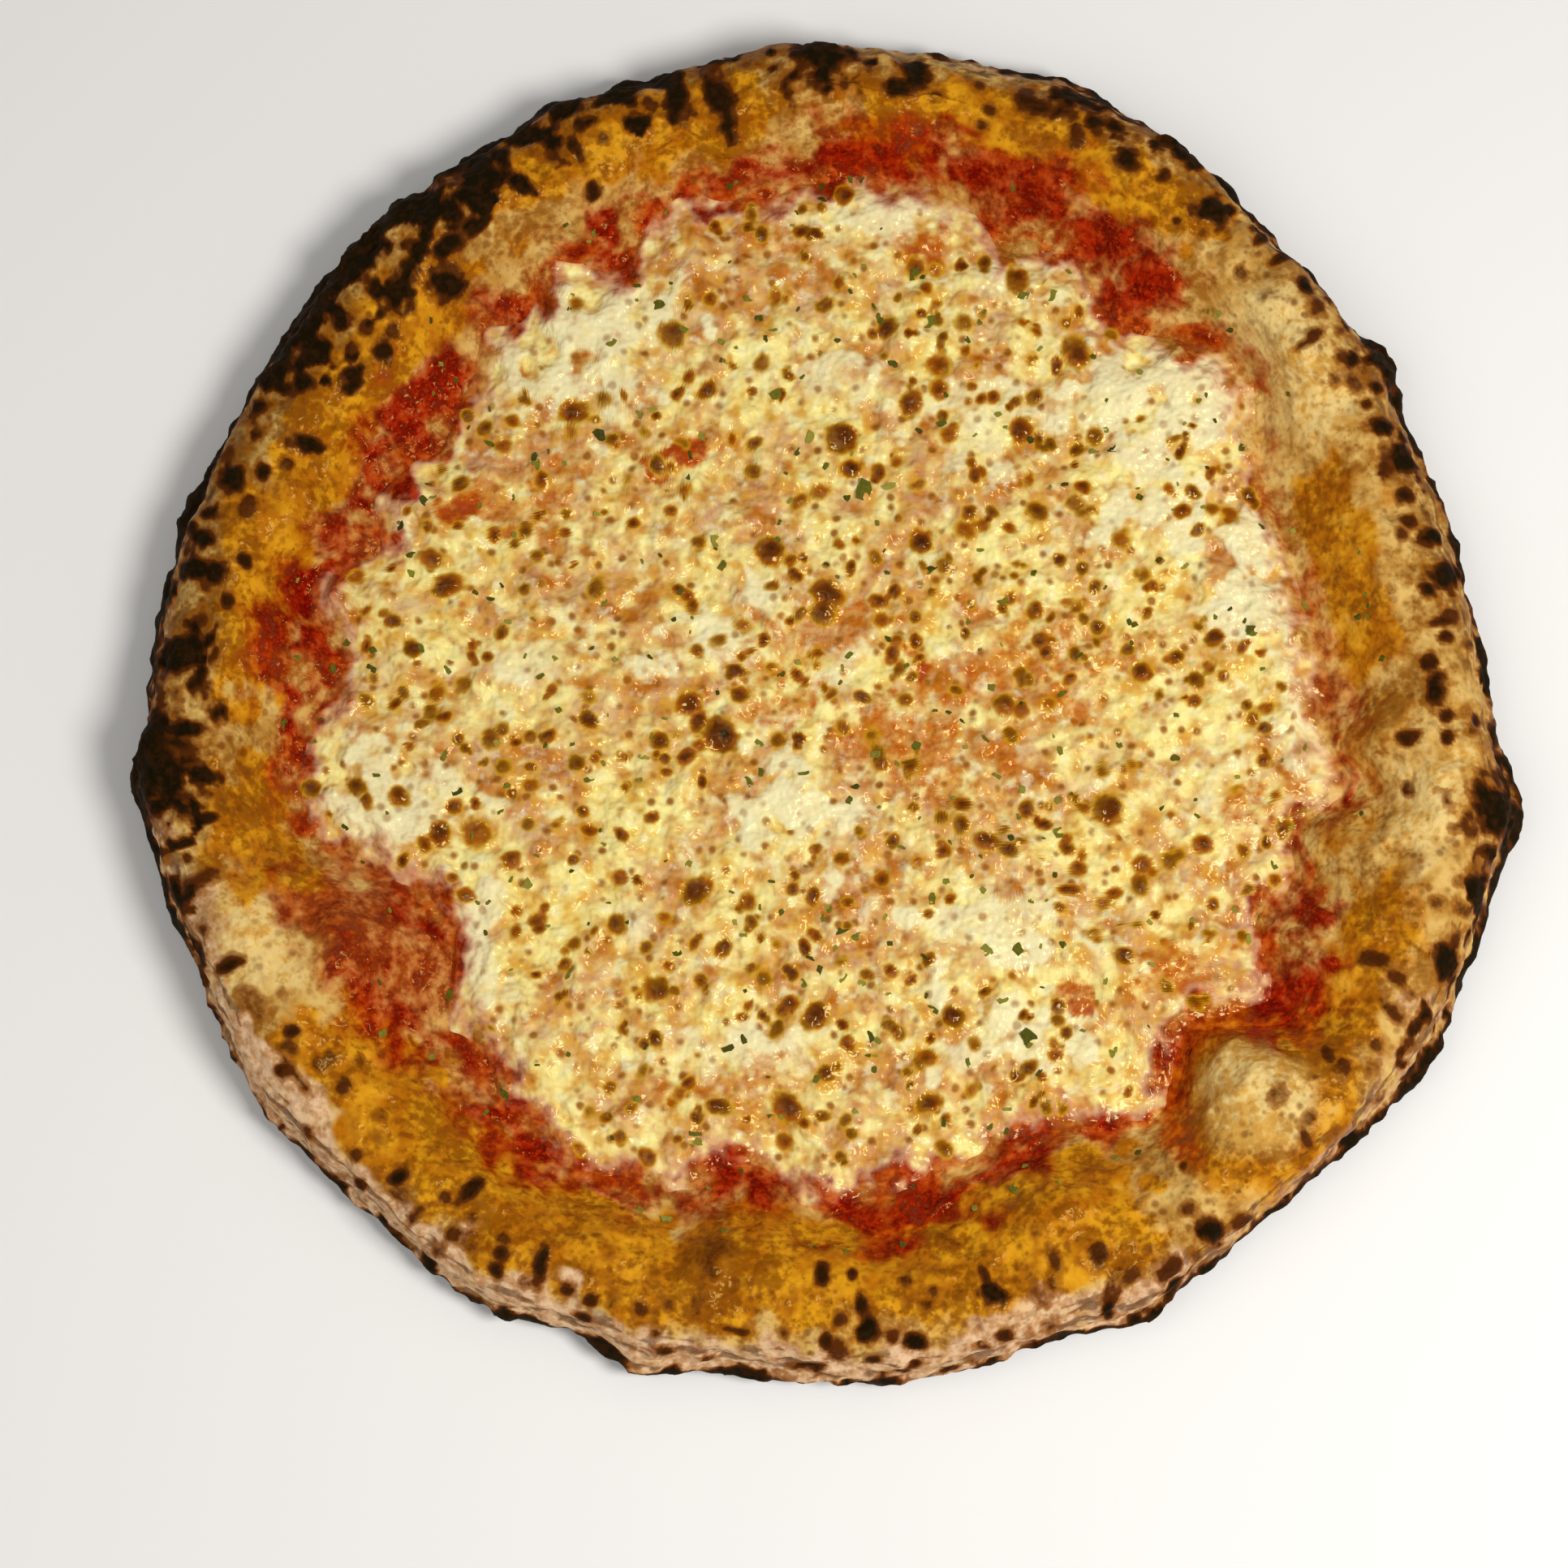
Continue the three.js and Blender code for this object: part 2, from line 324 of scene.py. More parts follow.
crust = {
    "steps": 1000,                        # columns of the fine mesh round the rim
    # rows of the base underneath, as shares of the way out to the foot
    "under": [0.06, 0.25, 0.45, 0.62, 0.76, 0.86, 0.9, 0.93, 0.955, 0.98],
    "rows": [7, 7, 8, 8, 8, 8, 8, 8, 8, 8, 3, 3, 3, 1],          # from each CAD ring to the next
    "swellings": (24, 1.2),               # size and height of the dough's broad unevenness
    "folds": (10, 0.9),
    "wrinkles": (3.6, 0.3),
    "puckers": (1.7, 0.12),
    "layers": (14, 2.2),                  # streaks to each radian of the wall, and their height
    "grooves": 0.9,
    "clods": (10, 1.25),                  # the burnt foot's lumps
    "crumbs": (3.1, 0.5),
    "stretches": 30,                      # length of the lumpier stretches of the foot
    "burnt": (6.6, 3.9),                  # how high the foot is burnt, and how much higher in places
    "wallPull": 1.3,                      # how far the wall above the foot is drawn in
    "flecks": 210,                        # small char spots at random
    "fleckRadius": (128, 158, 148),       # least, most, usual
    "fleckSize": (1.0, 2.2, 1.3),
    "fleckDark": (0.25, 0.75, 0.4),
    "blister": 0.16,                      # rise of a char spot, as a share of its half width
    "seed": 11,
}

# Char spots: bearing, radius, half width along and across the rim, darkness
charSpots = [
    (359.5, 133.5, 3, 2, 0.9), (2.2, 132.7, 1.5, 1.5, 0.8), (4.8, 137, 1.5, 1.5, 0.8),
    (6.3, 136.5, 1, 3.5, 0.8), (9.2, 134, 2, 2, 0.9), (10.5, 139, 3, 5, 1),
    (14.5, 139.5, 2, 3, 1), (15, 132, 1.5, 1.5, 0.55), (16.3, 134.5, 1.5, 1.5, 0.8),
    (18.7, 136, 2, 2, 0.85), (22.2, 138, 3.5, 4, 1), (25.5, 137.5, 2, 3.5, 1),
    (24, 142, 1.5, 2, 0.9), (21.5, 142.5, 1.5, 2, 0.9), (28.2, 136.5, 1.2, 1.5, 0.8),
    (30.5, 137, 3, 2, 0.55), (29, 141, 1.5, 1.5, 0.9), (32.3, 138.5, 1.5, 2, 0.9),
    (31.7, 132.5, 1.5, 1.5, 0.5), (31, 148, 6, 5, 1), (36, 134, 1, 3, 0.7),
    (38, 139, 2, 2, 0.6), (40.3, 141, 2, 2, 0.95), (44, 141.5, 1, 3, 0.85),
    (46.5, 142.5, 1, 3, 0.85), (45.2, 132, 1.5, 1.5, 0.5), (50.5, 142.5, 1.5, 2, 0.9),
    (52, 139, 3.5, 4, 1), (53.5, 131.7, 1, 1, 0.7), (55, 124, 1.5, 1.5, 0.5),
    (57.5, 147, 5, 4, 0.8), (57, 139, 1.5, 1.5, 0.8), (60.5, 137.5, 3, 2, 0.9),
    (63.5, 144.5, 2, 2, 0.9), (65, 143, 2, 2, 0.9), (68, 146, 3, 6, 1),
    (71, 141, 4, 2, 0.8), (74.5, 137, 1.5, 1.5, 0.6), (75, 133.5, 1.5, 1.5, 0.5),
    (79.5, 138.5, 1.5, 1.5, 0.55), (82, 143, 3, 4, 1), (83.5, 138, 2.5, 2, 0.9),
    (91, 145, 6.5, 8, 1), (100.5, 136, 3, 7, 0.9), (104, 138, 2.5, 5, 0.95),
    (106.5, 148, 2, 2, 0.9), (107, 139, 2, 2, 0.6), (108.5, 145, 3, 3.5, 1),
    (114.8, 126, 2, 2, 0.85), (115, 136, 1.2, 4, 0.8), (115, 150, 3, 5, 0.9),
    (116.5, 137, 2, 2, 0.6), (119.7, 147.5, 1.5, 4, 0.95), (121.2, 135, 1.5, 1.5, 0.85),
    (125, 147.5, 7, 6, 1), (131, 148, 8, 5.5, 1), (137, 147.5, 8, 5, 1), (143, 148, 7, 4.5, 1),
    (124, 138, 2, 2, 0.6), (127, 131.5, 3, 2, 0.95), (128, 137, 2, 4, 0.95),
    (130.5, 131.5, 3, 2, 0.95), (132.7, 126.4, 3.5, 4, 0.95), (134.5, 133.5, 1.5, 1.5, 0.9),
    (136.5, 132, 3.5, 2.5, 1), (137, 128, 2, 1.5, 0.6), (140.3, 126, 1.5, 1.5, 0.6),
    (142, 131, 1.5, 1.5, 0.6), (144.5, 131, 1.5, 1.5, 0.6), (142.7, 125, 2, 2, 0.85),
    (142.8, 136.5, 1.5, 1.5, 0.9), (145.5, 143.5, 2, 2.5, 1), (146.5, 127, 2.5, 2, 0.9),
    (149.3, 135, 2, 2.5, 0.95), (150.5, 144.5, 2.5, 3.5, 1), (151, 139.5, 1.5, 3, 0.9),
    (153.5, 142, 1.5, 2, 0.9), (154.3, 128, 2, 4, 0.95), (157.2, 130.5, 1.5, 1.5, 0.6),
    (158.5, 143.5, 2, 2, 0.6), (159, 134.5, 2, 1.5, 0.9), (160.5, 140, 2.5, 3, 1),
    (164.2, 143, 1.5, 2, 0.9), (166.5, 143.5, 1.5, 3, 0.95), (167.8, 132.5, 1.5, 1.5, 0.85),
    (169.5, 142.5, 2, 4, 1), (170, 137.5, 2.5, 2, 0.95), (172, 134, 1.5, 1.5, 0.8),
    (177.3, 145, 3, 7, 1), (179.7, 138, 3, 2, 0.9), (182.8, 134.5, 2, 2.5, 0.95),
    (184.5, 141, 1.5, 5, 1), (186, 150, 9, 8, 1), (188.7, 137.5, 2, 3.5, 1),
    (192.5, 139.5, 1, 3, 0.9), (198, 145, 2, 5, 0.55), (205.5, 144.6, 1.7, 3, 0.9),
    (210, 143, 4, 3, 0.4), (213.5, 139.5, 1.5, 1.5, 0.8), (216.5, 143.8, 6, 0.8, 0.55),
    (215.5, 146, 1.2, 1.5, 0.85), (217, 138.5, 1.5, 1.5, 0.5), (227, 150, 1.5, 1.5, 0.8),
    (229.3, 142.2, 1.8, 2.5, 0.95), (232.5, 147, 1, 3, 0.6), (235.2, 135, 1.5, 4, 0.85),
    (236.3, 144.5, 1.5, 1.5, 0.6), (240.5, 143, 1.5, 1.5, 0.8), (241, 147, 1.5, 1.5, 0.85),
    (244.2, 141, 1.5, 3.5, 0.9), (246.8, 143.5, 1.5, 1.5, 0.8), (249.2, 143.7, 1.3, 1.3, 0.8),
    (249, 148, 1.5, 1.5, 0.85), (253.6, 142.5, 1.5, 1.5, 0.7), (256.5, 150, 1.5, 1.5, 0.85),
    (259, 130, 4, 8, 0.42), (262, 143, 3, 0.7, 0.7), (266, 142, 1.5, 1.5, 0.6),
    (269.6, 143.5, 1.3, 1.5, 0.8), (269.3, 129, 1.3, 2.5, 0.85), (272.3, 129, 1, 1.5, 0.8),
    (272.7, 136, 1.2, 2.5, 0.85), (273.3, 141.5, 2.2, 2.5, 1), (273.7, 148.5, 1.5, 1.5, 0.85),
    (277.2, 131.5, 1.3, 1.5, 0.5), (277.3, 144.5, 2, 2, 0.95), (278.5, 137, 1.5, 1.5, 0.5),
    (282, 124.5, 2, 2, 0.4), (284.5, 133.5, 1, 2.5, 0.8), (284.6, 138, 2, 2, 0.95),
    (284.7, 146.8, 1.5, 1.5, 0.8), (290.7, 136, 1.5, 3, 0.55), (294.5, 138, 2, 3, 0.75),
    (296.5, 144.5, 2.5, 2, 0.55), (300, 147, 2.5, 2.5, 0.7), (304.7, 145, 2.3, 3.5, 1),
    (306, 131, 1, 1, 0.6), (307, 147, 2, 2, 0.6), (315.7, 144, 1, 2.5, 0.7),
    (322.8, 135.5, 1.2, 2, 0.7), (326, 142.5, 1.5, 1.5, 0.6), (327, 148.5, 1.2, 1.2, 0.8),
    (329.5, 148.5, 2, 1.5, 0.85), (335.5, 149.5, 3.5, 3.5, 1), (333, 133, 1.5, 3, 0.7),
    (340, 141, 1.5, 1.5, 0.5), (345.5, 150, 2.5, 3, 0.9), (349.5, 151, 6, 9, 1),
    (350, 130, 1.5, 1.5, 0.55), (354.8, 128.5, 1.5, 2.5, 0.8), (355.2, 136.5, 1.5, 1.5, 0.8),
    (356.5, 149, 2.5, 3, 0.9), (357.3, 136.7, 1.3, 1.3, 0.8), (357, 143.5, 1.5, 2, 0.85),
]

# Gas bubbles that stand out of the rim: bearing, radius, half width along and across, rise
gasBubbles = [
    (315.5, 127, 20, 19, 1.3), (294, 124, 13, 9, 1.6), (202, 138, 11, 10, 1.6),
    (210, 118, 14, 13, 1.5), (355, 121, 9, 9, 1.4), (328, 140, 8, 7, 1.0),
    (350, 136, 9, 7, 1.2), (36, 130, 12, 8, 1.4),
    (274, 131, 12, 9, 1.2), (259, 130, 8, 9, 1.2), (237, 132, 12, 8, 1.4), (152, 131, 10, 8, 1.2),
    (112, 128, 9, 8, 1.4), (84, 136, 11, 8, 1.2), (60, 134, 9, 7, 1.0), (14, 128, 12, 8, 1.3),
    (338, 131, 9, 8, 1.1), (175, 132, 10, 7, 1.1), (130, 124, 10, 8, 1.1), (225, 136, 8, 6, 0.9),
]

# The big bubble that pushes into the cheese, with sauce drawn up round it: x, y, half width
bigBubble = (93, -91, 19)

# Places on the rim: from bearing, to bearing, inner radius, outer radius, strength
oilyZones = [
    (50, 88, 127, 142, 1), (95, 125, 127, 142, 0.9), (130, 182, 119, 136, 1),
    (188, 202, 121, 139, 0.9), (213, 262, 121, 144, 1), (260, 302, 113, 142, 1),
    (322, 341, 124, 140, 0.8), (1, 25, 112, 127, 0.8), (341, 360, 112, 124, 0.5),
]
flouryZones = [
    (205, 300, 145, 160, 1), (300, 335, 147, 160, 0.6), (196, 210, 141, 151, 0.6),
    (284, 292, 140, 148, 0.9), (165, 205, 146, 160, 0.7), (60, 120, 148, 160, 0.8),
    (0, 60, 146, 160, 0.4),
]
paleZones = [
    (0, 3, 126, 132, 0.9), (28, 45, 121, 138, 0.9), (149, 163, 130, 137, 0.5),
    (196, 210, 127, 146, 0.8), (343, 354, 128, 140, 0.9),
    (353, 357, 117, 125, 0.7), (30, 38, 112, 122, 0.6),
]
# Darker brown stretches of the rim
brownerZones = [
    (140, 180, 133, 150, 0.7), (50, 70, 136, 150, 0.5), (0, 48, 130, 150, 0.45),
    (95, 140, 138, 150, 0.8), (245, 345, 128, 146, 0.4), (180, 192, 130, 150, 0.5),
]
# Black or nearly black stretches of the rim
charZones = [
    (88, 106, 142, 152, 0.7), (104, 118, 140, 157, 1), (116, 151, 138, 157, 1.15),
    (119, 149, 129, 144, 0.68), (104, 121, 132, 144, 0.5), (150, 192, 136, 148, 0.45),
    (150, 176, 146, 158, 0.8), (174, 193, 141, 158, 0.9), (193, 205, 148, 158, 0.55),
    (50, 75, 144, 157, 0.65), (18, 50, 143, 157, 0.6), (0, 18, 145, 157, 0.5),
    (340, 360, 147, 158, 0.8), (318, 340, 150, 158, 0.5), (265, 318, 150, 160, 0.45),
]
# Where the foot is burnt highest: from bearing, to bearing, strength
burntFoot = [
    (0, 75, 0.9), (75, 100, 0.3), (100, 200, 1), (200, 214, 0.3),
    (214, 232, 0.45), (236, 262, 0.75), (284, 303, 0.9), (303, 360, 0.7),
]
# Deep red sauce, which stains the dough around it
sauceZones = [
    (48, 57, 109, 125, 1), (56, 63, 115, 128, 1), (62, 78, 119, 132, 0.9),
    (78, 92, 118, 132, 0.95), (91, 104, 117, 125, 1), (104, 113, 118, 125, 0.7),
    (113, 118, 109, 122, 1), (118, 127, 115, 121, 0.5), (126, 131, 110, 120, 0.9),
    (131, 137, 110, 115, 0.5), (137, 151, 104, 119, 1), (148, 152, 118, 125, 1),
    (150, 159, 110, 121, 0.9), (157, 166, 107, 119, 0.85), (165, 171, 111, 127, 1),
    (170, 181, 117, 128, 0.9), (172, 178, 109, 119, 1), (180, 187, 114, 125, 0.95),
    (187, 199, 115, 122, 0.5), (199, 219, 99, 130, 0.64), (202, 212, 101, 110, 0.9),
    (207, 217, 118, 129, 0.8), (207, 213, 99, 108, 0.95), (210, 223, 113, 128, 0.85),
    (221, 230, 110, 121, 0.9), (229, 241, 116, 125, 1), (240, 250, 116, 123, 0.9),
    (249, 259, 111, 121, 0.7), (258, 266, 106, 117, 0.9), (265, 273, 112, 118, 0.5),
    (271, 287, 109, 122, 0.95), (285, 297, 107, 114, 1), (297, 305, 108, 115, 0.95),
    (303, 311, 112, 122, 0.7), (321, 332, 117, 129, 1), (331, 338, 110, 122, 0.9),
    (338, 343, 107, 114, 0.85), (343, 350, 107, 113, 0.9), (348, 352, 112, 122, 1),
    (351, 355, 112, 118, 0.8), (355, 364, 103, 119, 0.55), (4, 33, 107, 113, 0.45),
]
# How strongly the sauce shows along the cheese's edge: from bearing, to bearing, strength
saucyEdge = [(40, 198, 1), (190, 207, 0.5), (200, 345, 1), (335, 50, 0.6)]
# What is painted on the dough and the sauce: zones, and how softly they end
paints = {
    "oil": (oilyZones, 3.5), "flour": (flouryZones, 3.5), "dirt": (brownerZones, 4),
    "pale": (paleZones, 6), "red": (sauceZones, 5), "stain": (sauceZones, 9),
}


def buildCrust():
    places = rowPlaces(crust["rows"])
    upper = curveThrough(crustRings, places)
    floor = places > len(crust["rows"]) - 2           # the dough under the toppings is flat
    upper[floor] = linesThrough(crustRings, places[floor])
    under = np.array([crustRings[0] * share for share in crust["under"]])
    skin = roundSkin(np.concatenate([under, upper]), crust["steps"])
    skin.points[..., 2] = np.maximum(skin.points[..., 2], 0)
    skin.measure()
    skin.widest = len(crust["under"]) + sum(crust["rows"][:2])
    return skin


def shapeCrust(skin):
    points = skin.points
    height = points[..., 2]
    beyondCheese = skin.radius - aroundAt(cheeseEdge, skin.bearing)
    # the base and the dough under the cheese stay flat
    free = smoothStep(height, 0.2, 4) * smoothStep(beyondCheese, -2, 9)
    outside = smoothStep(skin.radius, 130, 140)
    broad = uneven(points, crust["swellings"], 2, 1)
    size, depth = crust["folds"]
    folds = lumps(points, size, 2, 2)
    folded = (0.3 - np.abs(folds) * 2) * depth
    wrinkles = uneven(points, crust["wrinkles"], 2, 3)
    puckers = uneven(points, crust["puckers"], 1, 10)
    # painted shade: the fold lines are marked here, to be darkened orange-brown on the dough
    skin.fields["crease"] = 1 - smoothStep(np.abs(folds), 0.0, 0.09)
    # layered streaks run round the wall, as lumps that are long along it
    angle = np.radians(skin.bearing)
    count, thick = crust["layers"]
    layered = [np.cos(angle) * count, np.sin(angle) * count, (height - skin.radius * 0.5) / thick]
    streaks = lumps(np.stack(layered, -1), 1, 3, 14)
    ridge = aroundAt(ridgeRing, skin.bearing)
    wall = smoothStep(skin.radius - ridge, 4, 9) * smoothStep(height, 3, 7)
    skin.fields["streak"] = wall * smoothStep(streaks, 0.0, 0.3)
    grooves = wall * -np.abs(streaks) * crust["grooves"]
    paintDough(skin)
    raised = charSpotsOn(skin)
    for bearing, radius, along, across, rise in gasBubbles:
        centre = skin.spot(bearing, radius, skin.widest)
        raised += hump(skin.reach(centre, along, across)) * rise
    # the foot is burnt black and crumbles
    clods = lumps(points, crust["clods"][0], 2, 4)
    crumbs = lumps(points, crust["crumbs"][0], 2, 16)
    burnt = allRound(skin.bearing, burntFoot, 0.2)
    usual, higher = crust["burnt"]
    line = usual + clods * 4 + crumbs * 2.4 + burnt * higher
    blackened = smoothStep(skin.radius + clods * 6 + broad * 8, 134, 146)
    skin.paint("char", (1 - smoothStep(height - line, -1.6, 1.0)) * blackened)
    skin.fields["under"] = 1 - smoothStep(height, 0.3, 1.5)
    low = smoothStep(height, 0.5, 3) * (1 - smoothStep(height, 7, 11)) * outside
    stretches = smoothStep(lumps(points, crust["stretches"], 1, 18), -0.15, 0.3)
    lumpy = clods * crust["clods"][1] + crumbs * crust["crumbs"][1]
    lumpy = lumpy * (0.3 + stretches) + stretches * 0.4
    crumbly = low * (0.4 + burnt) * lumpy
    drawnIn = smoothStep(height, 7, 10.5) * (1 - smoothStep(height, 13, 18)) * outside
    skin.swell(free * (broad + folded + wrinkles + puckers + raised + grooves)
               + crumbly - drawnIn * crust["wallPull"])
    skin.points[..., 2] = np.maximum(skin.points[..., 2], 0)
    skin.measure()


def charSpotsOn(skin):
    # paints the spots and returns how far they blister
    wobble = lumps(skin.points, 2.4, 2, 6) * 0.35 + lumps(skin.points, 5.5, 2, 17) * 0.5
    raised = np.zeros_like(skin.radius)
    spots = list(charSpots)
    scatter = random.Random(crust["seed"])
    for fleck in range(crust["flecks"]):
        size = scatter.triangular(*crust["fleckSize"])
        spots.append((scatter.uniform(0, 360), scatter.triangular(*crust["fleckRadius"]), size,
                      size * scatter.uniform(0.8, 1.5), scatter.triangular(*crust["fleckDark"])))
    for bearing, radius, along, across, dark in spots:
        centre = skin.spot(bearing, radius, skin.widest)
        distance = skin.reach(centre, along, across) + wobble * min(1.3, along / 1.6)
        skin.paint("char", dark * np.clip(1.62 - distance * 0.95, 0, 1))
        raised += hump(distance / 1.2) * min(along, across) * crust["blister"]
    return raised


def paintDough(skin):
    # the same on the dough and on the sauce, so that one runs into the other
    warp = lumps(skin.points, 9, 2, 8)
    turn = lumps(skin.points, 7, 2, 9)
    rough = lumps(skin.points, 7, 3, 12)
    bearing = skin.bearing + turn * 4
    radius = skin.radius + warp * 7
    height = skin.points[..., 2]
    topside = smoothStep(height, 1, 3)                # all but the base underneath
    for name, (zones, soft) in paints.items():
        skin.fields[name] = zoned(bearing, radius, zones, soft)
    skin.fields["oil"] *= smoothStep(height, 4, 9)
    # sauce squeezed out along the cheese's edge
    beyondCheese = skin.radius - aroundAt(cheeseEdge, skin.bearing)
    hug = (1 - smoothStep(beyondCheese + warp * 5, 0.5, 7.5)) * (0.75 + turn * 0.9)
    hug = hug * allRound(skin.bearing, saucyEdge, 0.1)
    skin.paint("red", hug * 0.7)
    skin.paint("stain", hug)
    for name in ("red", "stain"):
        skin.fields[name] *= topside
    x, y, size = bigBubble
    out = np.hypot(skin.points[..., 0] - x, skin.points[..., 1] - y) / size + warp * 0.12
    drawnUp = hump((out - 1) / 0.34) * (1 - smoothStep(skin.radius, 128, 138)) * topside
    skin.paint("pale", (1 - smoothStep(out, 0.35, 0.95)) * topside)
    skin.paint("oil", hump((out - 0.9) / 0.5) * 0.8 * topside)
    skin.paint("stain", drawnUp)
    skin.paint("red", drawnUp * 0.5)
    # the dough is darker brown round the char
    skin.paint("dirt", zoned(bearing, radius, charZones, 8) * 0.85)
    scorched = zoned(bearing, radius, charZones, 3) * topside
    patchy = rough * 1.3 * smoothStep(scorched, 0, 0.4)
    skin.fields["char"] = smoothStep(scorched * 1.35 + patchy, 0.5, 1.5)


crustSkin = buildCrust()
shapeCrust(crustSkin)
crustPiece = makeRound("crust_dough", crustSkin)
crustTree = treeOf(crustPiece)


sauce = {
    "steps": 1000,
    "rows": [2, 1, 1, 1, 1, 8, 8, 8, 4],   # from each CAD ring to the next, out below and back above
    "lower": 5,                            # of these lie below
    "thick": 0.9,                          # above the dough where it lies deepest
    "dip": 0.35,                           # below the dough's surface where there is none
    "below": 1.2,                          # its underside, below the dough's surface
    "floor": 4,                            # height of the dough where no ray finds it
    "pulp": (2.2, 0.45),                   # size and height of its unevenness
    "ripples": (6, 0.5),
}


def buildSauce():
    places = 1 + rowPlaces(sauce["rows"])
    skin = roundSkin(linesThrough(sauceRings, places), sauce["steps"])
    dough = dropOn(crustTree, skin.points, sauce["floor"])
    skin.points[..., 2] = dough
    paintDough(skin)
    top = np.arange(len(places)) >= sum(sauce["rows"][:sauce["lower"]])
    inside = 1 - smoothStep(skin.radius - aroundAt(cheeseEdge, skin.bearing), -7, 3)
    runOut = 1 - smoothStep(skin.radius - aroundAt(sauceEdge, skin.bearing), -3, 0)
    pulp = uneven(skin.points, sauce["pulp"], 2, 23)
    ripples = uneven(skin.points, sauce["ripples"], 2, 24)
    cover = smoothStep(skin.fields["red"] * 0.6 + skin.fields["stain"] * 0.4, 0.1, 0.9)
    spread = np.maximum(cover * runOut, inside)
    lift = -sauce["dip"] + (sauce["thick"] + sauce["dip"]) * spread + (pulp + ripples) * spread
    skin.points[..., 2] = np.where(top[None, :], dough + lift, dough - sauce["below"])
    skin.measure()
    return skin


sauceSkin = buildSauce()
saucePiece = makeRound("tomato_sauce", sauceSkin)
sauceTree = treeOf(saucePiece)


cheese = {
    "cells": 300,               # squares along each side of the sheet
    "wander": (8, 1.6),         # size and depth of the edge's small unevenness
    "lip": 13,                  # from the edge in to the full height
    "rise": 1.15,               # from just below the sauce to just above it, at the very edge
    "smoothing": 6,             # grid steps over which the CAD facets are smoothed
    "curds": (7, 0.8),          # size and height of its unevenness
    "grains": (2.2, 0.34),
    "lost": (8.5, 5.6),         # height of its top, and of the sauce, where no ray finds them
    "underside": [(0.6, 9), (6, 4.5)],   # how far the lip's underside is drawn in, and its height
    "spots": 640,               # browned blisters
    "spotSize": (0.8, 2.4, 1.35),        # half width: least, most, usual
    "spotBrown": (0.36, 1.0, 0.68),
    "bareEdge": 4,              # no blisters so close to the edge
    "apart": 0.95,              # gap between blisters, as a share of their half widths
    "pairs": 0.45,              # share that run together with a smaller one
    "swell": 0.2,               # rise of a blister, as a share of its half width
    "seed": 5,
}

# Browned blisters that stand out: x, y, half width, browning
cheeseSpots = [
    (-24, -9, 3.4, 1), (-31, -2, 2.6, 0.85), (-29, -6, 2.4, 0.9), (-13, 33, 2.8, 0.95),
    (3, 59, 3, 0.9), (21, 35, 2.4, 0.95), (0, 23, 3.4, 0.9), (-1, 19, 2.5, 0.8),
    (-29, -44, 3.2, 0.9), (-3, -72, 3, 0.9), (-24, -92, 2.6, 0.8), (-9, -92, 3.4, 0.8),
    (22, -91, 2.6, 0.8), (62, -26, 3, 0.85), (35, -33, 2.6, 0.8), (43, 96, 3, 0.75),
    (56, 79, 3.4, 0.75), (-35, 83, 2.8, 0.75), (19, 67, 2.8, 0.8), (47, 42, 2.4, 0.75),
    (-57, 65, 3, 0.75), (69, -43, 2.4, 0.7), (-78, -31, 3, 0.6), (-38, -66, 2.6, 0.7),
    (-85, 25, 3.2, 0.85), (-89, 31, 2.6, 0.7), (20, 99, 2, 0.7), (25, 76, 2.4, 0.65),
]
# White places, and orange ones with oil and sauce: x, y, half width along x and y, strength
whitePlaces = [
    # the white place at (-97, -25) is weaker than its neighbours, as painted shade on the cheese's
    # left side
    (-57, 82, 18, 14, 1), (76, 72, 20, 15, 1), (94, 30, 11, 20, 1), (-97, -25, 20, 13, 0.85),
    (-8, -24, 13, 12, 1), (-14, 22, 8, 6, 0.9), (-26, 12, 14, 7, 0.8), (38, -52, 16, 8, 0.9),
    (-55, 46, 10, 5, 0.4), (75, 45, 14, 12, 0.9), (5, 5, 8, 4, 0.8), (-78, -52, 6, 16, 0.7),
    (-20, -78, 16, 7, 0.7), (45, -75, 18, 8, 0.8), (0, 72, 10, 6, 0.7), (35, 62, 16, 9, 0.7),
    (-45, 72, 9, 6, 0.7), (10, 110, 16, 7, 0.8), (45, 100, 14, 7, 0.7), (-65, 8, 12, 5, 0.5),
    (108, -8, 8, 14, 0.6), (90, -20, 8, 8, 0.5), (-40, -55, 8, 8, 0.4), (-100, 40, 9, 6, 0.6),
]
orangePlaces = [
    (-30, 55, 8, 5, 1), (-81, 42, 5, 4, 0.9), (-66, 44, 14, 9, 0.55), (20, 9, 5, 6, 1),
    (23, 103, 6, 7, 0.7), (55, -67, 4, 4, 0.75), (20, -8, 22, 12, 0.6), (-100, 33, 5, 5, 0.5),
    (-12, 106, 14, 8, 0.45), (78, -62, 9, 6, 0.6), (100, 55, 5, 10, 0.5), (10, -12, 7, 6, 0.6),
    (48, 10, 22, 9, 0.5), (-8, 15, 10, 8, 0.5), (-15, 4, 12, 8, 0.45), (4, 18, 6, 6, 0.6),
    (110, 5, 6, 12, 0.45), (95, -22, 6, 6, 0.5), (-12, -90, 12, 8, 0.4), (-20, 118, 10, 5, 0.5),
]


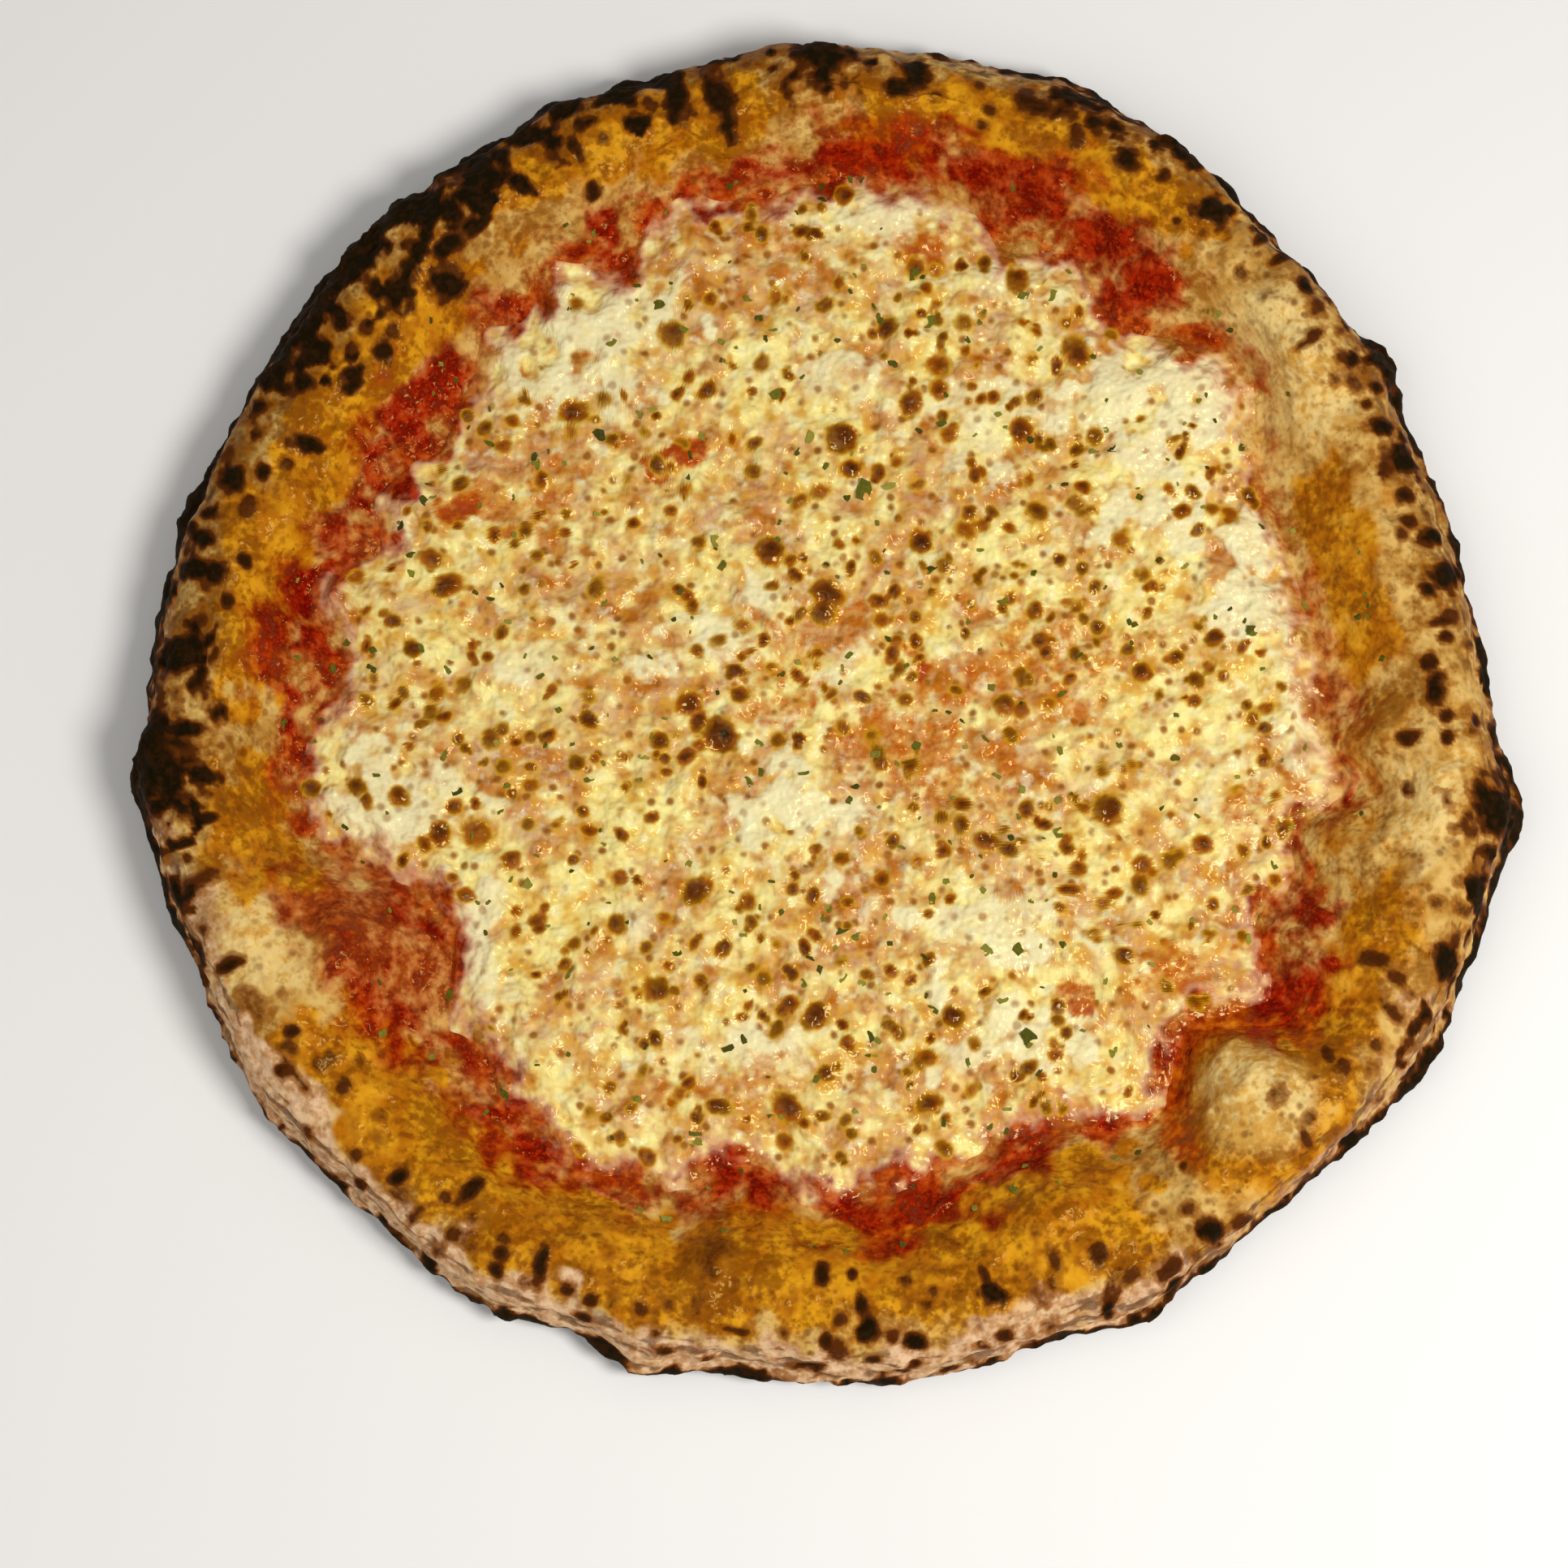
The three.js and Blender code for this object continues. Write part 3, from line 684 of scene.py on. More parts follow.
def buildCheese():
    # a square sheet of cells, pulled round onto the cheese's outline
    cells = cheese["cells"]
    along = np.linspace(-1, 1, cells + 1)
    x, y = np.meshgrid(along, along, indexing="ij")
    share = np.maximum(np.abs(x), np.abs(y))
    safe = np.maximum(share, 1e-9)
    quarter = np.where(x + y > 0, np.where(x > y, 0, 90), np.where(x < y, 180, 270))
    slant = np.select([quarter == 0, quarter == 90, quarter == 180], [y, -x, -y], x) / safe * 45
    bearing = (quarter + slant) % 360
    angle = np.radians(bearing)
    circle = np.stack([np.cos(angle), np.sin(angle), np.zeros_like(angle)], -1)
    wander = uneven(circle * 115, cheese["wander"], 2, 31)
    cadEdge = aroundAt(cheeseEdge, bearing)
    points = circle * (share * (cadEdge + wander))[..., None]
    within = circle * (share * (cadEdge - 0.8))[..., None]      # where the CAD's height is read
    # how far each point is from the outline, straight across
    border = np.concatenate([points[0], points[-1], points[:, 0], points[:, -1]])
    outline = KDTree(len(border))
    for count, point in enumerate(border.tolist()):
        outline.insert(point, count)
    outline.balance()
    gaps = [outline.find(point)[2] for point in points.reshape(-1, 3).tolist()]
    return points, within, np.array(gaps).reshape(share.shape)


def blurred(values, reach):
    # a running mean along one side of the sheet, then along the other
    width = 2 * reach + 1
    for side in range(2):
        padded = np.pad(values, [(reach, reach), (0, 0)], "edge")
        total = np.insert(np.cumsum(padded, axis=0), 0, 0, axis=0)
        values = ((total[width:] - total[:-width]) / width).T
    return values


def placed(points, places, warp):
    # 1 inside soft oval places on the sheet
    total = np.zeros(points.shape[:-1])
    for x, y, wide, deep, strength in places:
        distance = np.hypot((points[..., 0] - x) / wide, (points[..., 1] - y) / deep)
        total = np.maximum(total, strength * (1 - smoothStep(distance + warp, 0.55, 1.25)))
    return total


def spotPlaces(points, fields, edgeGap, scatter):
    # blisters that stand out, then a scatter that keeps clear of each other
    spots = list(cheeseSpots)
    crowd = [spot[:3] for spot in spots]
    patches = lumps(points, 16, 2, 41)
    candidates = [tuple(place) for place in np.argwhere(edgeGap > cheese["bareEdge"]).tolist()]
    while len(spots) < cheese["spots"]:
        place = scatter.choice(candidates)
        x, y = points[place][:2]
        size = scatter.triangular(*cheese["spotSize"])
        likely = 0.55 + patches[place] * 1.2 - fields["white"][place] * 0.42
        near = any(math.hypot(x - other[0], y - other[1]) < cheese["apart"] * (size + other[2])
                   for other in crowd)
        if near or scatter.random() > likely:
            continue
        brown = scatter.triangular(*cheese["spotBrown"]) + (size - 1.5) * 0.06
        spots.append((x, y, size, brown))
        crowd.append((x, y, size))
        if scatter.random() < cheese["pairs"]:
            turn = scatter.uniform(0, math.tau)
            gap = size * scatter.uniform(0.8, 1.5)
            spots.append((x + gap * math.cos(turn), y + gap * math.sin(turn),
                          size * scatter.uniform(0.5, 0.8), brown * scatter.uniform(0.6, 1)))
    return spots


def dropSpots(points, fields, wobble, edgeGap):
    # paints the blisters and returns how far they rise
    scatter = random.Random(cheese["seed"])
    spots = spotPlaces(points, fields, edgeGap, scatter)
    fields["brown"] = np.zeros_like(edgeGap)
    raised = np.zeros_like(edgeGap)
    for x, y, size, brown in spots:
        stretch = scatter.uniform(0.6, 1.0)
        turn = scatter.uniform(0, math.pi)
        leanX, leanY = scatter.uniform(-0.3, 0.3), scatter.uniform(-0.3, 0.3)
        offX, offY = points[..., 0] - x, points[..., 1] - y
        near = np.nonzero((np.abs(offX) < 2.5 * size) & (np.abs(offY) < 2.5 * size))
        offX, offY = offX[near] / size, offY[near] / size
        alongX = offX * math.cos(turn) + offY * math.sin(turn)
        alongY = (offY * math.cos(turn) - offX * math.sin(turn)) / stretch
        distance = np.hypot(alongX, alongY) + wobble[near] * 0.32
        # its darker core, partly its own browning and partly painted shade on one side, sits off the
        # middle
        coreAndShade = np.hypot(alongX - leanX, alongY - leanY) + wobble[near] * 0.25
        tone = np.clip(1.3 - distance * 0.85, 0, 0.7) + 0.3 * (1 - smoothStep(coreAndShade, 0.1, 0.85))
        fields["brown"][near] = np.maximum(fields["brown"][near], brown * tone)
        raised[near] += hump(distance / 1.15) * size * cheese["swell"]
    return raised


def sauceFields(points, ground):
    # what is painted on the sauce, for the cheese to show through at its thin edge
    below = Skin(np.concatenate([points[..., :2], ground[..., None]], -1))
    paintDough(below)
    return {name: below.fields[name] for name in ("oil", "red", "stain", "pale")}


def shapeCheese():
    points, within, edgeGap = buildCheese()
    lostTop, lostGround = cheese["lost"]
    top = dropOn(treeOf(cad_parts["cheese"]), within, lostTop)
    for turn in range(2):
        top = blurred(top, cheese["smoothing"] // 2)
    ground = dropOn(sauceTree, points, lostGround)
    curds = uneven(points, cheese["curds"], 2, 32)
    grains = uneven(points, cheese["grains"], 1, 33)
    warp = lumps(points, 8, 3, 34)
    wobble = lumps(points, 2.2, 2, 35)
    fields = sauceFields(points, ground)
    fields["white"] = placed(points, whitePlaces, warp * 1.3)
    fields["orange"] = placed(points, orangePlaces, warp * 1.3)
    fields["thin"] = 1.3 - 1.3 * smoothStep(edgeGap + warp * 6, 0, 9)
    raised = dropSpots(points, fields, wobble, edgeGap)
    # white places are smooth and stand up a little, orange ones lie lower
    rough = 1 - fields["white"]
    relief = curds * (1.2 + rough * 0.8) + grains * (0.3 + rough * 1.7) + raised
    relief += fields["white"] * 0.5 - fields["orange"] * 0.45
    # the lip rises steeply out of the sauce and rounds over
    lip = np.clip(edgeGap / (cheese["lip"] * (1 + 0.8 * warp)), 0, 1)
    rounding = smoothStep(lip, -0.6, 1) - smoothStep(0, -0.6, 1) * (1 - lip)
    base = ground - 0.8 + cheese["rise"] * smoothStep(edgeGap, 0, 2.4)
    points[..., 2] = base + (top + relief * smoothStep(edgeGap, 1, 8) - base) * rounding
    return points, fields


def makeCheese():
    points, fields = shapeCheese()
    shape = laidSheet(points, fields)
    # the underside of the lip is drawn in and closed with one hidden face
    border = [edge for edge in shape.edges if edge.is_boundary]
    for edge in border:
        edge.smooth = False
    for inwards, height in cheese["underside"]:
        skirt = bmesh.ops.extrude_edge_only(shape, edges=border)["geom"]
        border = [item for item in skirt if isinstance(item, bmesh.types.BMEdge)]
        for vert in [item for item in skirt if isinstance(item, bmesh.types.BMVert)]:
            reach = vert.co.xy.length
            vert.co.xy *= (reach - inwards * mm) / reach
            vert.co.z = min(vert.co.z - 0.4 * mm, height * mm)
    return finishPiece("melted_cheese", shape)


cheesePiece = makeCheese()
cheeseTree = treeOf(cheesePiece)


def tint(red, green, blue):
    # a colour as it looks on a screen, 0 to 255, in the shader's linear terms
    linear = []
    for level in (red, green, blue):
        level = level / 255
        linear.append(level / 12.92 if level <= 0.04045 else ((level + 0.055) / 1.055) ** 2.4)
    return (*linear, 1)


class Wire:
    # a socket in a sum: an expression on it adds its Math nodes
    def __init__(self, finish, socket):
        self.finish = finish
        self.socket = socket

    def sum(self, operation, first, second):
        settings = {"operation": operation}
        return self.finish.node("ShaderNodeMath", settings, {0: first, 1: second}).out()

    def __add__(self, other):
        return self.sum("ADD", self, other)

    def __radd__(self, other):
        return self.sum("ADD", other, self)

    def __sub__(self, other):
        return self.sum("SUBTRACT", self, other)

    def __rsub__(self, other):
        return self.sum("SUBTRACT", other, self)

    def __mul__(self, other):
        return self.sum("MULTIPLY", self, other)

    def __rmul__(self, other):
        return self.sum("MULTIPLY", other, self)

    def step(self, low, high, bottom=0, top=1):
        # a smooth step from one level of this value to another
        settings = {"interpolation_type": "SMOOTHSTEP"}
        sockets = {"Value": self, "From Min": low, "From Max": high, "To Min": bottom, "To Max": top}
        return self.finish.node("ShaderNodeMapRange", settings, sockets).out()

    def atMost(self, other):
        return self.sum("MINIMUM", self, other)


class Placed:
    # a node that has been set up, with its outputs at hand
    def __init__(self, finish, node):
        self.finish = finish
        self.node = node

    def out(self, name=None):
        outputs = [socket for socket in self.node.outputs if socket.enabled]
        chosen = outputs[0] if name is None else self.node.outputs[name]
        return Wire(self.finish, chosen)


class Finish:
    def __init__(self, name, roughness, **fixed):
        self.material = bpy.data.materials.new(name)
        self.material.use_nodes = True
        self.tree = self.material.node_tree
        self.shader = self.tree.nodes["Principled BSDF"]
        self.shader.inputs["Roughness"].default_value = roughness
        for socket, value in fixed.items():
            self.shader.inputs[socket.replace("_", " ")].default_value = value
        self.place = self.node("ShaderNodeTexCoord").out("Object")

    def node(self, kind, settings=None, sockets=None):
        made = self.tree.nodes.new(kind)
        for setting, value in (settings or {}).items():
            if setting == "stops":
                self.setStops(made.color_ramp, value)
            else:
                setattr(made, setting, value)
        for name, value in (sockets or {}).items():
            self.join(self.find(made, name), value)
        return Placed(self, made)

    def find(self, made, name):
        if isinstance(name, int):
            return made.inputs[name]
        return next(socket for socket in made.inputs if socket.enabled and socket.name == name)

    def join(self, socket, value):
        if isinstance(value, Wire):
            self.tree.links.new(value.socket, socket)
        else:
            socket.default_value = value

    def setStops(self, ramp, stops):
        while len(ramp.elements) < len(stops):
            ramp.elements.new(1)
        for element, (place, colour) in zip(ramp.elements, stops):
            element.position = place
            element.color = colour

    def field(self, name):
        return self.node("ShaderNodeAttribute", {"attribute_name": name}).out("Fac")

    def noise(self, size, detail=2, roughness=0.5):
        # smooth noise around 0.5, with lumps of a size in millimetres
        sockets = {
            "Vector": self.place, "Scale": 1 / (size * mm), "Detail": detail, "Roughness": roughness,
        }
        return self.node("ShaderNodeTexNoise", {}, sockets).out("Fac")

    def dots(self, size, reach, rarity, uneven):
        # round dots, at most one in each cell of a size: 1 in the middle, 0 outside
        sockets = {"Vector": self.place, "Scale": 1 / (size * mm)}
        cell = self.node("ShaderNodeTexVoronoi", {"feature": "F1"}, sockets)
        distance = cell.out("Distance") + (uneven - 0.5) * 0.2
        return distance.step(reach * 0.3, reach, 1, 0) * cell.out("Color").step(rarity, rarity + 0.06)

    def mix(self, first, second, share):
        # a colour is a link, or red, green and blue as tint() takes them
        first, second = [tint(*side) if isinstance(side, tuple) else side for side in (first, second)]
        settings = {"data_type": "RGBA", "clamp_factor": True}
        return self.node("ShaderNodeMix", settings, {"Factor": share, "A": first, "B": second}).out()

    def ramp(self, value, stops):
        settings = {"stops": stops}
        return self.node("ShaderNodeValToRGB", settings, {"Fac": value}).out("Color")

    def bump(self, height, distance, strength=1.0):
        sockets = {"Height": height, "Distance": distance * mm, "Strength": strength}
        return self.node("ShaderNodeBump", {}, sockets).out("Normal")

    def finish(self, colour, roughness=None, normal=None):
        self.join(self.shader.inputs["Base Color"], colour)
        if roughness is not None:
            self.join(self.shader.inputs["Roughness"], roughness)
        if normal is not None:
            self.join(self.shader.inputs["Normal"], normal)
        return self.material


class Grain:
    # the noises that the dough, the sauce and the cheese's edge share, so that they run together
    def __init__(self, finish):
        self.finish = finish
        self.broad = finish.noise(15, 1)
        self.blotch = finish.noise(6, 2, 0.55)
        self.fine = finish.noise(2.2, 2, 0.6)
        self.speck = finish.noise(0.8, 1, 0.5)
        self.bead = finish.noise(1.4, 0, 0.5)

    def broken(self, name, blotchy, fine):
        # a painted field whose border is broken up
        return self.finish.field(name) + (self.blotch - 0.5) * blotchy + (self.fine - 0.5) * fine


def sauceColour(finish, grain, base):
    # oil and sauce stains over the bare dough's colour
    bright = finish.mix((226, 154, 6), (190, 110, 1), grain.blotch.step(0.34, 0.62))
    brown = (grain.fine * 0.6 + grain.broad * 0.5).step(0.5, 0.66)
    gold = finish.mix(bright, (134, 68, 1), brown * 0.75)
    oil = grain.broken("oil", 0.9, 0.25).step(0.1, 0.8)
    base = finish.mix(base, gold, oil * 0.95)
    orange = finish.mix((210, 100, 2), (172, 56, 0), grain.fine.step(0.36, 0.64))
    stain = grain.broken("stain", 0.7, 0.3).step(0.15, 0.95)
    base = finish.mix(base, orange, stain * 0.9)
    red = (grain.fine * 0.5 + grain.blotch * 0.5).step(0.4, 0.6)
    red = finish.mix((170, 24, 0), (112, 0, 0), red)
    red = finish.mix(red, (200, 76, 4), grain.speck.step(0.52, 0.74) * 0.35)
    deep = grain.broken("red", 1.1, 0.35).step(0.15, 1.05)
    base = finish.mix(base, red, deep)
    smear = finish.mix((204, 110, 30), (214, 146, 84), grain.fine.step(0.4, 0.6))
    cream = (grain.broad * 0.5 + grain.blotch * 0.5 + (grain.fine - 0.5) * 0.3).step(0.52, 0.85)
    base = finish.mix(base, smear, cream * stain * 0.25)
    return base, oil, deep


def bareDough(finish, grain):
    dough = finish.mix((226, 184, 104), (200, 146, 64), grain.blotch.step(0.32, 0.66))
    dough = finish.mix(dough, (160, 102, 30), (grain.broad * 0.6 + grain.fine * 0.5).step(0.47, 0.7))
    paler = (grain.fine + grain.broad - 0.5).step(0.36, 0.66)
    pale = finish.mix((240, 206, 130), (218, 164, 74), paler)
    bare = grain.broken("pale", 0.9, 0.3).step(0.2, 0.9)
    return finish.mix(dough, pale, bare)


def doughFinish():
    finish = Finish("baked_dough", 0.6, Specular_IOR_Level=0.25, Specular_Tint=(1, 0.72, 0.2, 1))
    grain = Grain(finish)
    base, oil, deep = sauceColour(finish, grain, bareDough(finish, grain))
    flourHue = finish.mix((240, 200, 158), (204, 150, 102), grain.fine.step(0.36, 0.66))
    flour = grain.broken("flour", 0.9, 0.3).step(0.25, 0.95)
    base = finish.mix(base, flourHue, flour * 0.9)
    # darker brown where the rim is browner, with more freckles and grit there
    dirt = grain.broken("dirt", 1.2, 0.6).step(0.2, 1.1)
    base = finish.mix(base, (108, 64, 12), dirt * 0.8)
    freckles = finish.dots(3.4, 0.38, 0.36, grain.fine) * (finish.field("dirt") * 0.8 + 0.5)
    base = finish.mix(base, (118, 56, 4), freckles * 0.85)
    grit = finish.dots(2.1, 0.36, 0.45, grain.fine) * (finish.field("dirt") * 0.7 + 0.4)
    base = finish.mix(base, (104, 50, 6), grit * 0.7)
    streak = (finish.field("streak") + (grain.fine - 0.5) * 0.3).step(0.35, 1.05)
    base = finish.mix(base, (88, 48, 24), streak * 0.72)
    # painted shade along the folds: the fold lines are darkened orange-brown
    crease = finish.field("crease") * grain.blotch.step(0.42, 0.6)
    base = finish.mix(base, (138, 66, 4), crease * 0.3)
    # the base underneath: floured, with leopard spots
    under = finish.field("under")
    base = finish.mix(base, flourHue, under * grain.fine.step(0.38, 0.62) * 0.7)
    leopard = grain.broad * 0.35 + grain.blotch * 0.65
    base = finish.mix(base, (132, 72, 16), under * leopard.step(0.46, 0.58) * 0.8)
    base = finish.mix(base, (30, 14, 6), under * leopard.step(0.55, 0.64) * 0.95)
    # toasted fringes, then char
    burnt = finish.field("char") + (grain.fine - 0.5) * 0.4 + (grain.speck - 0.5) * 0.1
    base = finish.mix(base, (150, 82, 6), burnt.step(0.02, 0.26) * 0.75)
    base = finish.mix(base, (84, 34, 3), burnt.step(0.24, 0.56))
    coal = finish.mix((10, 3, 1), (40, 16, 4), grain.fine.step(0.42, 0.66))
    base = finish.mix(base, coal, burnt.step(0.56, 0.94))
    wet = (grain.blotch * 0.5 + grain.fine * 0.5).step(0.42, 0.54)
    greasy = (1 - burnt.step(0.4, 0.8)) * (1 - flour)
    rough = 0.9 - ((oil + deep).atMost(1) * 0.24 + wet * 0.34 + 0.1) * greasy
    height = grain.fine * 0.4 + grain.bead * 0.4
    return finish.finish(base, rough, finish.bump(height, 1.0, 0.8))


def sauceFinish():
    finish = Finish("tomato_sauce", 0.4, Specular_IOR_Level=0.24, Specular_Tint=(1, 0.6, 0.15, 1))
    grain = Grain(finish)
    base, oil, deep = sauceColour(finish, grain, bareDough(finish, grain))
    wet = (grain.blotch * 0.5 + grain.fine * 0.5).step(0.42, 0.54)
    rough = 0.54 - deep * 0.08 - wet * 0.3
    height = grain.fine * 0.35 + grain.bead * 0.5
    return finish.finish(base, rough, finish.bump(height, 1.2, 0.9))


def cheeseFinish():
    finish = Finish("melted_cheese", 0.45, Specular_IOR_Level=0.42, Specular_Tint=(1, 0.82, 0.38, 1))
    grain = Grain(finish)
    mottle = finish.noise(3.6, 1, 0.5)
    patch = finish.noise(9, 1, 0.5)
    white = (finish.field("white") + (patch - 0.5) * 1.6 + (mottle - 0.5) * 0.9).step(0.1, 1.1)
    plain = 1 - white * 0.85
    cream = finish.mix((255, 238, 152), (246, 210, 108), grain.blotch.step(0.3, 0.7))
    tan = finish.mix((222, 164, 84), (216, 156, 114), grain.fine.step(0.4, 0.62))
    tanShare = grain.broad * 0.45 + patch * 0.45 + grain.blotch * 0.35 + (mottle - 0.5) * 0.35
    base = finish.mix(cream, tan, tanShare.step(0.52, 0.76) * plain)
    yellow = (mottle * 0.5 + grain.blotch * 0.5).step(0.5, 0.64)
    base = finish.mix(base, (224, 158, 14), yellow * plain * 0.6)
    toasted = finish.noise(5, 1) * 0.7 + grain.broad * 0.5 + (grain.fine - 0.5) * 0.2
    base = finish.mix(base, (188, 104, 8), toasted.step(0.58, 0.86) * plain)
    base = finish.mix(base, (250, 237, 184), white * 0.88)
    glow = (mottle * 0.8 + grain.speck * 0.2).step(0.46, 0.3)
    base = finish.mix(base, (253, 247, 204), glow * 0.45)
    amber = finish.dots(3.8, 0.38, 0.32, grain.fine) * (0.95 - white * 0.4)
    base = finish.mix(base, (156, 88, 0), amber)
    orange = grain.broken("orange", 0.8, 1.1)
    base = finish.mix(base, (206, 116, 10), orange.step(0.05, 0.85) * 0.9)
    base = finish.mix(base, (170, 52, 4), orange.step(0.5, 1.15) * 0.95)
    # towards its edge the cheese lets the sauce through
    thin = grain.broken("thin", 0.9, 0.3)
    base = finish.mix(base, (226, 170, 136), thin.step(0.1, 0.8) * 0.75)
    below, oil, deep = sauceColour(finish, grain, bareDough(finish, grain))
    base = finish.mix(base, below, thin.step(0.35, 1.15))
    brown = finish.field("brown") + (grain.fine - 0.5) * 0.14
    ring = finish.mix((164, 84, 0), (144, 88, 0), patch.step(0.4, 0.6))
    base = finish.mix(base, (208, 154, 12), brown.step(0, 0.24) * 0.85)
    base = finish.mix(base, ring, brown.step(0.13, 0.42))
    # darker towards the blister cores, which are partly browning and partly painted shade on one side
    base = finish.mix(base, (98, 42, 0), brown.step(0.38, 0.76))
    base = finish.mix(base, (34, 10, 1), brown.step(0.84, 1.0))
    # greasy places are smoother and glint
    wet = (grain.blotch * 0.5 + grain.fine * 0.5).step(0.42, 0.52)
    rough = 0.58 - wet * 0.42
    height = grain.fine * 0.2 + grain.bead * 0.6
    return finish.finish(base, rough, finish.bump(height, 0.95, 0.85))


def giveFinish(piece, material, node):
    piece.data.materials.clear()
    piece.data.materials.append(material)
    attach(piece, "root")
    if node is not None:
        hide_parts(node)


giveFinish(crustPiece, doughFinish(), "crust")
giveFinish(saucePiece, sauceFinish(), "sauce")
giveFinish(cheesePiece, cheeseFinish(), "cheese")
print("finishes are on")


herbs = {
    "flakes": 400,
    "within": 124,                   # none lie further out
    "bare": 1.3,                     # none on the big bubble, in its half widths
    "length": (0.8, 3.0, 1.2),       # shortest, longest, usual
    "width": (0.4, 0.9),             # shares of the length
    "curl": 0.35,
    "ragged": (0.08, 0.06, 0.05),    # unevenness along it, across it and in height
    "thick": 0.14,
    "lean": 0.25,
    "lift": 0.1,                     # above what it lies on
    "seed": 77,
}
# Flakes that show clearly in the photograph: x, y, length, turn
clearFlakes = [
    (-52, 59, 4, 30), (8, 47, 4.5, 20), (23, 86, 3.5, 50), (35, 86, 3.4, 100), (12, 87, 3, 150),
    (-16, 87, 3, 120), (-4, 59, 3, 40), (38, -18, 3, 60), (31, 17, 2, 0), (62, -80, 4, 110),
    (44, -77, 4.5, 90), (3, -53, 3, 20), (42, -57, 3, 140), (-2, -62, 2.6, 80), (60, 56, 2.6, 30),
    (-66, -42, 4, 130), (23, -46, 3.4, 80), (-57, -63, 3, 60), (20, 97, 4, 70), (-22, -79, 2.6, 10),
]


def flakeShape(scatter, length):
    # one dried leaf fragment: a curled strip with a torn outline
    leaf = bmesh.new()
    bmesh.ops.create_grid(leaf, x_segments=3, y_segments=1, size=0.5)
    width = scatter.uniform(*herbs["width"])
    curl = scatter.uniform(-herbs["curl"], herbs["curl"])
    along, across, upwards = herbs["ragged"]
    for vert in leaf.verts:
        taper = 1 - 0.9 * abs(vert.co.x) ** 1.5
        vert.co.y = vert.co.y * width * taper + scatter.uniform(-across, across)
        vert.co.x += scatter.uniform(-along, along)
        vert.co.z = curl * vert.co.x ** 2 + scatter.uniform(-upwards, upwards)
    bmesh.ops.solidify(leaf, geom=leaf.faces[:], thickness=herbs["thick"] / length)
    bmesh.ops.scale(leaf, vec=(length * mm,) * 3, verts=leaf.verts)
    return leaf


def flakePlaces(scatter):
    places = [(x, y, length, math.radians(turn)) for x, y, length, turn in clearFlakes]
    bubbleX, bubbleY, bubbleSize = bigBubble
    while len(places) < herbs["flakes"]:
        bearing = scatter.uniform(0, math.tau)
        radius = herbs["within"] * math.sqrt(scatter.random())
        length = scatter.triangular(*herbs["length"])
        turn = scatter.uniform(0, math.tau)
        x, y = radius * math.cos(bearing), radius * math.sin(bearing)
        if math.hypot(x - bubbleX, y - bubbleY) > bubbleSize * herbs["bare"]:
            places.append((x, y, length, turn))
    return places


